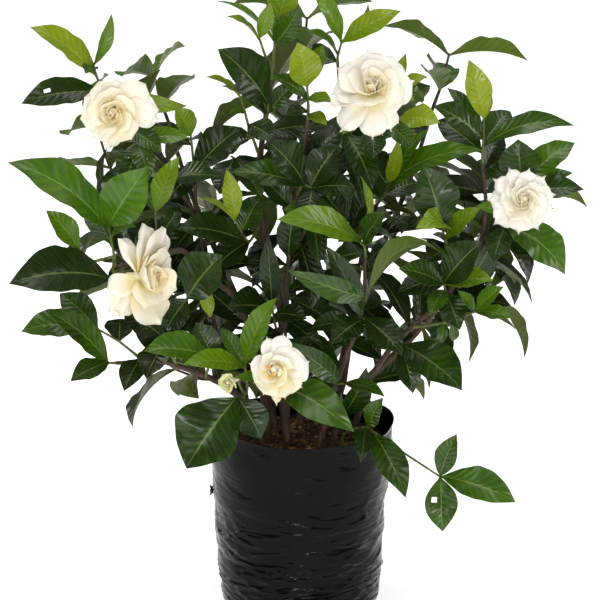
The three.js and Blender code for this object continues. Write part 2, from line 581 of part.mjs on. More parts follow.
// Half the blade's width at a share of its length, as a share of half its full width
function bladeOutline(t) {
  return (Math.max(0, t) ** 1.2 * Math.max(0, 1 - t) ** 1.05) / 0.2114;
}

// The frame of a leaf: its root, the way it points, its upper side and its measures
function leafFrame(root, tip, width, roll, outward, arch, seed) {
  const span = tip.clone().sub(root);
  const direction = span.clone().normalize();
  const upper = perpendicular(outward.clone().multiplyScalar(0.65).addScaledVector(UP, 0.76), direction);
  upper.applyAxisAngle(direction, THREE.MathUtils.degToRad(roll));
  const random = makeRandom(seed);
  return {
    root, direction, upper, width, arch, length: span.length(),
    fold: THREE.MathUtils.degToRad(14 + 16 * random()),
    wave: 0.05 + 0.09 * random(),
    phase: 2 * Math.PI * random(),
    twist: THREE.MathUtils.degToRad(-14 + 28 * random()),
  };
}

function turnedLeaf(leaf, [sideways, upwards, keep]) {
  const side = leaf.upper.clone().cross(leaf.direction);
  const direction = leaf.direction.clone()
    .applyAxisAngle(leaf.upper, THREE.MathUtils.degToRad(sideways))
    .applyAxisAngle(side, THREE.MathUtils.degToRad(upwards));
  const upper = perpendicular(leaf.upper, direction);
  return { ...leaf, direction, upper, length: leaf.length * keep, width: leaf.width * Math.sqrt(keep) };
}

// A point of the blade: t runs along it, q across it from -1 to 1, and lift is above it
function bladePoint(leaf, t, q, lift) {
  const side = leaf.upper.clone().cross(leaf.direction);
  side.applyAxisAngle(leaf.direction, leaf.twist * (t - 0.3));
  const upper = leaf.direction.clone().cross(side);
  const half = Math.max((leaf.width / 2) * bladeOutline(t), STALK_HALF_WIDTH * (1 - t) ** 2);
  const bow = 4 * leaf.arch * leaf.length * t * (1 - t);
  const wave = leaf.wave * half * Math.abs(q) * Math.sin(13 * t + leaf.phase + (q > 0 ? 2.2 : 0));
  return leaf.root.clone()
    .addScaledVector(leaf.direction, leaf.length * t)
    .addScaledVector(side, half * q * Math.cos(leaf.fold))
    .addScaledVector(upper, bow + half * Math.abs(q) * Math.sin(leaf.fold) + wave + lift);
}

// The blade as a solid with sharp edges, sunk to a point in its stem. Its upper and under faces
// are split alike, from the midrib forwards to the edge, as its side veins run.
function bladeSolid(leaf) {
  const stations = leaf.length > LARGE_LEAF ? [0.14, 0.36, 0.62, 0.85] : [0.17, 0.47, 0.79];
  const flat = leaf.width < NARROW_LEAF || leaf.plain;
  const rings = stations.map((t) => {
    const keel = bladePoint(leaf, t, 0, -LEAF_THICKNESS);
    const ring = [bladePoint(leaf, t, -1, 0), keel, bladePoint(leaf, t, 1, 0)];
    return flat ? ring : [...ring, bladePoint(leaf, t, 0, 0)];
  });
  return loft([[bladePoint(leaf, 0, 0, -0.4)], ...rings, [bladePoint(leaf, 1, 0, 0)]], BLADE_LEANING);
}

// The blade with room all round it, from a share of its length to its tip, to test what it touches
function roomyBlade(leaf, from) {
  const edge = 1 + LEAF_CLEARANCE / Math.max(3, leaf.width / 2);
  const rings = [from, 0.36, 0.62, 0.85].map((t) => [
    bladePoint(leaf, t, -edge, LEAF_CLEARANCE), bladePoint(leaf, t, -edge, -LEAF_CLEARANCE),
    bladePoint(leaf, t, 0, -LEAF_THICKNESS - LEAF_CLEARANCE), bladePoint(leaf, t, edge, -LEAF_CLEARANCE),
    bladePoint(leaf, t, edge, LEAF_CLEARANCE), bladePoint(leaf, t, 0, LEAF_CLEARANCE)]);
  return loft([...rings, [bladePoint(leaf, 1 + LEAF_CLEARANCE / leaf.length, 0, 0)]]);
}

// What stands in the way of new leaves, by the node that owns it
const obstacles = [];

function boxOf(solid) {
  const box = solid.boundingBox();
  return new THREE.Box3(vector([...box.min]), vector([...box.max]));
}

function addObstacle(owner, solid) {
  obstacles.push({ owner, solid, box: boxOf(solid) });
}

function meets(solid, box, other) {
  return box.intersectsBox(other.box) && !solid.intersect(other.solid).isEmpty();
}

function isClear(owner, solid) {
  const box = boxOf(solid);
  return obstacles.every((other) => other.owner === owner || !meets(solid, box, other));
}

// A leaf passes other nodes with all of its blade, but its own spray only past its root
function leafIsClear(owner, carrier, leaf) {
  const whole = roomyBlade(leaf, 0.02);
  const outer = roomyBlade(leaf, 0.15);
  const box = boxOf(whole);
  return obstacles.every((other) => {
    const near = other.owner === owner || other.owner === carrier;
    return !meets(near ? outer : whole, box, other);
  });
}

function union(solids) {
  return wasm.Manifold.union(solids);
}

// The largest body of a solid, without the loose scraps that cutting can leave
function mainBody(solid) {
  return solid.decompose().reduce((best, body) => (body.volume() > best.volume() ? body : best));
}

// A named mesh of a solid in its colour
function meshOf(name, solid, colour, roughness) {
  const { vertProperties, triVerts, numProp } = solid.getMesh();
  const geometry = new THREE.BufferGeometry();
  const positions = new Float32Array((vertProperties.length / numProp) * 3);
  for (let i = 0; i < positions.length / 3; i += 1) {
    positions.set(vertProperties.subarray(i * numProp, i * numProp + 3), i * 3);
  }
  geometry.setAttribute('position', new THREE.BufferAttribute(positions, 3));
  geometry.setIndex(new THREE.BufferAttribute(new Uint32Array(triVerts), 1));
  geometry.computeVertexNormals();
  const material = new THREE.MeshStandardMaterial({ color: colour, roughness, metalness: 0 });
  const mesh = new THREE.Mesh(geometry, material);
  mesh.name = name;
  return mesh;
}

// The bag's outer radius at a height and angle: a soft taper, a rounded foot, and creases that
// run round it, deeper in the lower part
function bagRadius(angle, height) {
  const share = height / BAG_HEIGHT;
  const taper = BAG_WAIST_RADIUS + (BAG_TOP_RADIUS - BAG_WAIST_RADIUS) * share ** 1.1;
  const foot = (BAG_FOOT_RADIUS - BAG_WAIST_RADIUS) * Math.max(0, 1 - height / 22) ** 2;
  const depth = share < 0.02 ? 0 : 1.1 * (1 - 0.6 * share);
  const rings = Math.sin(height / 6.5 + 2.2 * Math.sin(angle * 2 + 0.6));
  const folds = 0.6 * Math.sin(3 * angle + height / 19);
  return taper + foot + depth * (rings + folds);
}

function rimHeight(angle) {
  return BAG_HEIGHT + 2.2 * Math.sin(2 * angle + 0.5) + 1.4 * Math.sin(5 * angle + 1.2);
}

function bagRing(height, inset, levelled) {
  const ring = [];
  for (let i = 0; i < BAG_SIDES; i += 1) {
    const angle = (i / BAG_SIDES) * 2 * Math.PI;
    const share = height / BAG_HEIGHT;
    const z = levelled ? height : height + (rimHeight(angle) - BAG_HEIGHT) * share ** 4;
    const radius = bagRadius(angle, height) - inset;
    ring.push(new THREE.Vector3(radius * Math.cos(angle), radius * Math.sin(angle), z));
  }
  return ring;
}

function makeBag() {
  const outerHeights = [0, 6, 20, 34, 48, 64, 82, 104, 134, 166, BAG_HEIGHT];
  const innerHeights = [BAG_HEIGHT, 134, 20, BAG_WALL];
  const rings = [
    ...outerHeights.map((height) => bagRing(height, 0, height === 0)),
    ...innerHeights.map((height) => bagRing(height, BAG_WALL, height === BAG_WALL)),
  ];
  return loft(rings);
}

function soilHeight(angle, radius) {
  const x = radius * Math.cos(angle);
  const y = radius * Math.sin(angle);
  return SOIL_TOP + 1.8 * Math.sin(x / 9 + 1.3 * Math.sin(y / 13)) + 1.6 * Math.sin(y / 8 + x / 21 + 1)
    + 3 * Math.sin(x / 34 + 0.7) - 2;
}

function soilRing(height, radiusShare, followsTop) {
  return bagRing(Math.min(height, SOIL_TOP), BAG_WALL + 2.4, true).map((point) => {
    const angle = Math.atan2(point.y, point.x);
    const radius = Math.hypot(point.x, point.y) * radiusShare;
    const z = followsTop ? soilHeight(angle, radius) : height;
    return new THREE.Vector3(radius * Math.cos(angle), radius * Math.sin(angle), z);
  });
}

function makeSoil(stemsInSoil) {
  const rings = [
    ...[SOIL_FLOOR, 20, 134].map((height) => soilRing(height, 1, false)),
    ...[1, 0.7, 0.36].map((share) => soilRing(SOIL_TOP, share, true)),
    [new THREE.Vector3(0, 0, soilHeight(0, 0))],
  ];
  return loft(rings).subtract(union(stemsInSoil));
}

// The green cup under a bloom: a short flared cup that ends in a flat seat
function calyxSolid(seat, face, scale) {
  const rings = CALYX_PROFILE.map(([offset, radius]) => (
    ringAround(seat.clone().addScaledVector(face, offset * scale), face, radius * scale, CALYX_SIDES)));
  return loft(rings);
}

// A point of a petal: s runs along it, q across it, and lift is on its inner side
function petalPoint(petal, s, q, lift) {
  const { openRoot, openTip, length, width, cup, roll } = petal;
  const { axis, radial, tangent, throat, rootRadius, rise } = petal;
  const opening = openRoot + (openTip - openRoot) * s;
  const bend = openTip - openRoot;
  const outwards = rootRadius + (length * (Math.cos(openRoot) - Math.cos(opening))) / bend;
  const forwards = rise + (length * (Math.sin(opening) - Math.sin(openRoot))) / bend;
  const half = (width / 2) * (Math.abs(s) ** 0.55 * Math.sqrt(1 - s ** 4)) / 0.72;
  const inner = radial.clone().multiplyScalar(-Math.cos(opening)).addScaledVector(axis, Math.sin(opening));
  return throat.clone()
    .addScaledVector(radial, outwards)
    .addScaledVector(axis, forwards)
    .addScaledVector(tangent, half * q * Math.cos(roll))
    .addScaledVector(inner, half * q * Math.sin(roll) + cup * half * q * q + lift);
}

function petalSolid(petal) {
  const rings = [0.3, 0.66, 0.9].map((s) => [
    petalPoint(petal, s, -1, 0), petalPoint(petal, s, 0, -PETAL_THICKNESS),
    petalPoint(petal, s, 1, 0), ...(petal.inner ? [] : [petalPoint(petal, s, 0, 0)]),
  ]);
  const ends = [-0.05, 1].map((s) => [petalPoint(petal, s, 0, -0.5)]);
  return loft([ends[0], ...rings, ends[1]], BLADE_LEANING);
}

// One petal that stands at a clock angle in a layer of the bloom, with small random changes
function petalAt(bloom, layer, clock, shape, random) {
  const [length, width, openRoot, openTip, cup] = shape;
  const axis = vector(bloom.face).normalize();
  const right = perpendicular(new THREE.Vector3(1, 0.01, 0), axis);
  const angle = THREE.MathUtils.degToRad(clock + 10 * (random() - 0.5));
  const radial = right.applyAxisAngle(axis, angle);
  return {
    axis, radial, cup, throat: place(bloom.throat), tangent: axis.clone().cross(radial),
    length: length * (0.95 + 0.1 * random()),
    width: width * (0.94 + 0.12 * random()),
    openRoot: THREE.MathUtils.degToRad(openRoot + 8 * (random() - 0.5)),
    openTip: THREE.MathUtils.degToRad(openTip + 12 * (random() - 0.5)),
    roll: THREE.MathUtils.degToRad(PETAL_ROLL),
    rootRadius: (PETAL_ROOT_RADIUS - layer * LAYER_INSET) * bloom.scale ** 2,
    rise: layer * LAYER_RISE * bloom.scale,
    inner: layer > 0,
  };
}

function bloomPetals(bloom, seed) {
  const random = makeRandom(seed);
  const petals = bloom.petals.map(([clock, ...shape]) => petalAt(bloom, 0, clock, shape, random));
  bloom.whorls.forEach(([count, length, width, openRoot, openTip, cup, first], whorl) => {
    const shape = [length, width, openRoot, openTip, cup];
    for (let i = 0; i < count; i += 1) {
      petals.push(petalAt(bloom, whorl + 1, first + (360 / count) * i, shape, random));
    }
  });
  return petals;
}

function bloomSolid(bloom, seed) {
  const axis = vector(bloom.face).normalize();
  const throat = place(bloom.throat);
  const petals = bloomPetals(bloom, seed).map(petalSolid);
  const { scale } = bloom;
  const core = loft(CORE_PROFILE.map(([offset, radius]) => (
    ringAround(throat.clone().addScaledVector(axis, offset * scale), axis, radius * scale, CALYX_SIDES))));
  return mainBody(union([core, ...petals]));
}

function toneColour(tone) {
  const young = new THREE.Color(COLOURS.young);
  const mid = new THREE.Color(COLOURS.mid);
  const dark = new THREE.Color(COLOURS.dark);
  return tone > 0.5 ? mid.lerp(young, tone * 2 - 1) : dark.lerp(mid, tone * 2);
}

// A leaf starts inside its twig, a little past the twig's middle line
function leafRoot(line, share, tip) {
  const root = onStem(line, share);
  return root.addScaledVector(tip.clone().sub(root).normalize(), -ROOT_DEPTH);
}

// The leaf as a solid after the smallest turn that clears its neighbours, or null if none does
function growLeaf(owner, carrier, leaf) {
  const turn = LEAF_TURNS.find((candidate) => leafIsClear(owner, carrier, turnedLeaf(leaf, candidate)));
  if (!turn) return null;
  const solid = bladeSolid(turnedLeaf(leaf, turn));
  addObstacle(owner, solid);
  return solid;
}

// Each limb of a woody stem, thickened by some extra radius, joined in one solid
function woodSolid(limbs, extra) {
  return union(limbs.map(({ route, radii }) => stemSolid(route.map(place), radii, STEM_SIDES, extra)));
}

// The stalk and calyx that carry a bloom, from the end of its twig
function stalkSolids(bloom, twigEnd) {
  const axis = vector(bloom.face).normalize();
  const { scale } = bloom;
  const seat = place(bloom.throat).addScaledVector(axis, CORE_PROFILE[0][0] * scale - SEAT_GAP);
  const cup = seat.clone().addScaledVector(axis, CALYX_PROFILE[1][0] * scale);
  return [stemSolid([twigEnd, cup], STALK_RADII, TWIG_SIDES), calyxSolid(seat, axis, scale)];
}

// The twigs of a spray with their solids, ready to take leaves
function makeTwigs(spray) {
  return spray.twigs.map(({ route, leaves, bloom }) => {
    const points = route.map(place);
    const solids = [stemSolid(points, TWIG_RADII, TWIG_SIDES)];
    if (bloom) solids.push(...stalkSolids(BLOOMS[bloom], points[points.length - 1]));
    return { line: stemLine(points), solids, leaves };
  });
}

// The solids of all leaves on one spray
function sprayLeaves(name, twigs, seed) {
  const solids = [];
  twigs.forEach(({ line, leaves }, twigIndex) => {
    leaves.forEach(([across, down, back, width, roll, share, tone, arch = USUAL_ARCH], leafIndex) => {
      const tip = place([across, down, back]);
      const root = leafRoot(line, share, tip);
      const leafSeed = seed + TWIG_STEP * twigIndex + LEAF_STEP * leafIndex;
      const leaf = leafFrame(root, tip, width * WIDTH_GAIN, roll, FRONT, arch, leafSeed);
      leaf.plain = tone <= PLAIN_TONE;
      const solid = growLeaf(name, SPRAYS[name].on, leaf);
      if (solid) solids.push(solid);
    });
  });
  return solids;
}

function meanTone(spray) {
  const tones = spray.twigs.flatMap((twig) => twig.leaves.map((leaf) => leaf[6]));
  return tones.reduce((sum, tone) => sum + tone, 0) / tones.length;
}

// A side shoot of a back branch: its route from the branch outwards, and the way out of the bush
function backShoot(line, share, clock, random) {
  const start = onStem(line, share);
  const forward = wayOnStem(line, share);
  const out = new THREE.Vector3(start.x * 0.6, start.y, 0).normalize();
  const aside = perpendicular(out, forward).applyAxisAngle(forward, THREE.MathUtils.degToRad(clock));
  const last = share === 1;
  const heading = forward.clone().multiplyScalar(last ? 1 : 0.45)
    .addScaledVector(aside, last ? 0 : 0.8)
    .addScaledVector(out, 0.15)
    .normalize();
  const length = BACK_SHOOT_LENGTH * (0.8 + 0.5 * random());
  const middle = start.clone().addScaledVector(heading, length * 0.5);
  const end = start.clone().addScaledVector(heading, length).addScaledVector(UP, length * 0.2);
  return { route: [start, middle, end], out };
}

// The leaves of a side shoot, in pairs that stand across each other
function backLeaves(line, out, share, random) {
  const leaves = [];
  BACK_PAIR_PLACES.forEach((placeOnTwig, pair) => {
    const base = onStem(line, placeOnTwig);
    const pointing = wayOnStem(line, placeOnTwig);
    const first = perpendicular(out, pointing);
    const single = pair === 0 && share > 0.4 && share < 0.8;
    for (let k = 0; k < (single ? 1 : 2); k += 1) {
      const angle = THREE.MathUtils.degToRad(180 * k + 90 * pair + 50 * random());
      const reach = BACK_LEAF_LENGTH * (0.75 + 0.45 * random());
      const tip = base.clone()
        .addScaledVector(first.clone().applyAxisAngle(pointing, angle), reach * 0.85)
        .addScaledVector(pointing, reach * (0.25 + 0.3 * random()))
        .addScaledVector(UP, -reach * 0.12);
      const width = BACK_LEAF_WIDTH * (0.8 + 0.4 * random());
      const seed = Math.floor(1 + 1e6 * random());
      const leaf = leafFrame(leafRoot(line, placeOnTwig, tip), tip, width, 0, out, USUAL_ARCH, seed);
      leaves.push({ ...leaf, plain: true });
    }
  });
  return leaves;
}

// A leafy branch at the back, with its wood, side shoots and leaves in one solid
function backBranchSolid(name, route, seed) {
  const line = stemLine(route);
  const pieces = [stemSolid(route, BRANCH_RADII, STEM_SIDES)];
  [...BACK_SHOOT_PLACES, 1].forEach((share, i) => {
    const random = makeRandom(seed + SHOOT_STEP * i);
    const clock = 70 + 137 * i + 30 * random();
    const shoot = backShoot(line, share, clock, random);
    const roomy = stemSolid(shoot.route, TWIG_RADII, TWIG_SIDES, LEAF_CLEARANCE);
    if (!isClear(name, roomy)) return;
    const twig = stemSolid(shoot.route, TWIG_RADII, TWIG_SIDES);
    addObstacle(name, twig);
    pieces.push(twig);
    for (const leaf of backLeaves(stemLine(shoot.route), shoot.out, share, random)) {
      const solid = growLeaf(name, name, leaf);
      if (solid) pieces.push(solid);
    }
  });
  return union(pieces);
}

// Everything that leaves have to pass: bag, woody stems, back branches, blooms and twigs
const bag = makeBag();
addObstacle('grow_bag', bag);
const seats = {};
for (const [name, limbs] of Object.entries(STEMS)) {
  seats[name] = woodSolid(limbs, SEAT_GAP);
  addObstacle(name, seats[name]);
}
const backRoutes = {};
for (const [name, points] of Object.entries(BACK_BRANCHES)) {
  backRoutes[name] = points.map(vector);
  seats[name] = stemSolid(backRoutes[name], BRANCH_RADII, STEM_SIDES, SEAT_GAP);
  addObstacle(name, seats[name]);
}
const bloomSolids = {};
Object.entries(BLOOMS).forEach(([name, bloom], index) => {
  bloomSolids[name] = bloomSolid(bloom, BLOOM_SEED + BLOOM_STEP * index);
  addObstacle(name, bloomSolids[name]);
});
const twigsBySpray = {};
for (const [name, spray] of Object.entries(SPRAYS)) {
  twigsBySpray[name] = makeTwigs(spray);
  addObstacle(name, union(twigsBySpray[name].flatMap((twig) => twig.solids)));
}
const overRimRoute = SPRAYS.spray_over_rim.twigs[0].route.map(place);
seats.spray_over_rim = stemSolid(overRimRoute, TWIG_RADII, TWIG_SIDES, SEAT_GAP);

// The plant, its mix and its bag
const gardenia = new THREE.Group();
gardenia.add(meshOf('grow_bag', bag, COLOURS.bag, 0.35));
gardenia.add(meshOf('soil', makeSoil(Object.values(seats)), COLOURS.soil, 0.95));
for (const [name, limbs] of Object.entries(STEMS)) {
  gardenia.add(meshOf(name, woodSolid(limbs, 0), COLOURS.wood, 0.8));
}
Object.entries(twigsBySpray).forEach(([name, twigs], index) => {
  const leaves = sprayLeaves(name, twigs, LEAF_SEED + SPRAY_STEP * index);
  const grown = union([...twigs.flatMap((twig) => twig.solids), ...leaves]);
  const carrier = seats[SPRAYS[name].on];
  const seated = carrier ? grown.subtract(carrier) : grown;
  gardenia.add(meshOf(name, mainBody(seated), toneColour(meanTone(SPRAYS[name])), 0.4));
});
for (const [name, solid] of Object.entries(bloomSolids)) {
  gardenia.add(meshOf(name, solid, COLOURS.petal, 0.7));
}
Object.entries(backRoutes).forEach(([name, route], index) => {
  const branch = mainBody(backBranchSolid(name, route, BRANCH_SEED + BRANCH_STEP * index));
  gardenia.add(meshOf(name, branch, COLOURS.dark, 0.4));
});

export default gardenia;
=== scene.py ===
import json
import math

import bpy
import numpy as np
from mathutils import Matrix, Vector, noise
from mathutils.kdtree import KDTree

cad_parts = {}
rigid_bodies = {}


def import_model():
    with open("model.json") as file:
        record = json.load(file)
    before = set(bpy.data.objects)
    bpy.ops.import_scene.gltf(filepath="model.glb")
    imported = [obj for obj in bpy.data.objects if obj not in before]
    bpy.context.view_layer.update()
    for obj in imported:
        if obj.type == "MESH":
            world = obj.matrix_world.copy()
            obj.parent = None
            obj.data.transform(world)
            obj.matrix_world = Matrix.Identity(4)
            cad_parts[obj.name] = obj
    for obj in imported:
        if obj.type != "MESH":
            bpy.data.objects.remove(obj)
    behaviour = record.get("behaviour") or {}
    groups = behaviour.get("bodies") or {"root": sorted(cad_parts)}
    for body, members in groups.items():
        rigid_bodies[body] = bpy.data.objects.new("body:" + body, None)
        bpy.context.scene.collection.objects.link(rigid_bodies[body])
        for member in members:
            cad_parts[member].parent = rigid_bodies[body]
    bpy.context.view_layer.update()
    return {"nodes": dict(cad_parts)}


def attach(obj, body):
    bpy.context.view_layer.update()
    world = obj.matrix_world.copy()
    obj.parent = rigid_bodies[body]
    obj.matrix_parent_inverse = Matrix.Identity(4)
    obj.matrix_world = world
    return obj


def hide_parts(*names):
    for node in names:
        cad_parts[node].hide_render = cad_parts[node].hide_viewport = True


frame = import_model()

MM = 0.001

# Sizes in millimetres, as the CAD part has them
BAG_HEIGHT = 192
BAG_TOP_RADIUS = 94
BAG_WAIST_RADIUS = 81
BAG_FOOT_RADIUS = 76
SOIL_TOP = 171
SOIL_FLOOR = 2.2
STEM_STEP = 42
STALK_HALF_WIDTH = 1.1
TIP_HALF_WIDTH = 0.2
WIDTH_GAIN = 1.2
ROOT_DEPTH = 0.6
USUAL_ARCH = 0.09
PETAL_ROLL = 13
PETAL_ROOT_RADIUS = 4.5
LAYER_INSET = 0.9
LAYER_RISE = 1.6
SEAT_GAP = 0.35
BRANCH_RADII = (4.2, 1.8)
TWIG_RADII = (1.9, 1.2)
STALK_RADII = (1.5, 1.5)
BACK_SHOOT_PLACES = (0.34, 0.5, 0.66, 0.82, 1)
BACK_PAIR_PLACES = (0.42, 0.98)
BACK_SHOOT_LENGTH = 48
BACK_LEAF_LENGTH = 88
BACK_LEAF_WIDTH = 38
LARGE_LEAF = 92
VEIN_PAIRS = 9.5
VEIN_REACH = 1.7
VEIN_STAGGER = 0.3
FILM_THICKNESS = 0.5
FILM_SIDES = 192
FILM_RINGS = 140
MIX_REACH = 84
CHIP_COUNT = 260
ROOT_COUNT = 46
HEART_PETALS = 8

# Seeds of the random draws
LEAF_SEED = 1000
SPRAY_STEP = 61
TWIG_STEP = 211
LEAF_STEP = 7
BLOOM_SEED = 211
BLOOM_STEP = 17
BRANCH_SEED = 7003
BRANCH_STEP = 131
SHOOT_STEP = 17
MIX_SEED = 4177
INNER_SEED = 5119

UP = np.array([0.0, 0.0, 1.0])
FRONT = np.array([0.0, -1.0, 0.0])

# A place is [across, down, back] in the view plane of an eye that looks along +Y and 16 degrees
# down: across and down from its left and top edges, and back from the bag's axis.
VIEW_TILT = math.radians(16)
VIEW_AXIS = 300
VIEW_FOOT = 605

# Woody stems: limbs with a route, and the radius at the limb's foot and end
STEMS = {
    "stem_centre": [
        {"route": [[288, 470, 0], [284, 400, 5], [283, 335, 0], [279, 300, 2], [262, 220, 12],
         [260, 160, 16], [266, 120, 15], [271, 82, 12]], "radii": [5, 2.2]},
        {"route": [[284, 325, 0], [287, 300, -8], [288, 258, -15], [298, 190, -18], [308, 122, -16]],
         "radii": [3, 1.8]},
        {"route": [[288, 258, -15], [308, 226, -8], [325, 200, -2], [340, 172, 2], [345, 130, 4],
         [338, 77, 6]], "radii": [2.6, 1.7]},
    ],
    "stem_right": [
        {"route": [[328, 466, 22], [350, 402, 18], [368, 380, 12], [410, 340, 0], [452, 288, -14],
         [480, 243, -26], [501, 229, -36]], "radii": [4.6, 2.2]},
        {"route": [[480, 243, -26], [484, 205, -20], [480, 165, -15]], "radii": [2.4, 1.8]},
    ],
    "stem_right_front": [
        {"route": [[324, 474, -8], [345, 405, -14], [375, 370, -24], [401, 335, -36], [445, 300, -62]],
         "radii": [4, 2]},
    ],
    "stem_thin": [
        {"route": [[312, 476, -26], [335, 385, -34], [345, 360, -40], [357, 325, -46], [363, 300, -52],
         [364, 257, -60]], "radii": [3, 1.6]},
    ],
    "stem_inner": [
        {"route": [[318, 457, 46], [342, 395, 46], [357, 290, 42], [365, 240, 38], [377, 204, 34]],
         "radii": [3.4, 1.8]},
    ],
    "stem_left": [
        {"route": [[272, 478, -28], [242, 395, -46], [212, 380, -60], [178, 363, -74], [148, 362, -80],
         [119, 362, -82]], "radii": [4, 2]},
        {"route": [[222, 384, -54], [215, 330, -24], [208, 280, -6], [197, 212, 0], [196, 182, 4]],
         "radii": [2.6, 1.8]},
        {"route": [[199, 222, -1], [176, 184, -8], [150, 158, -14], [121, 124, -24], [111, 106, -30]],
         "radii": [2.2, 1.7]},
    ],
    "stem_left_rising": [
        {"route": [[268, 464, 18], [264, 400, 4], [245, 310, -22], [228, 292, -32], [212, 276, -40],
         [190, 250, -52], [150, 260, -62], [119, 267, -70]], "radii": [4, 1.9]},
    ],
}

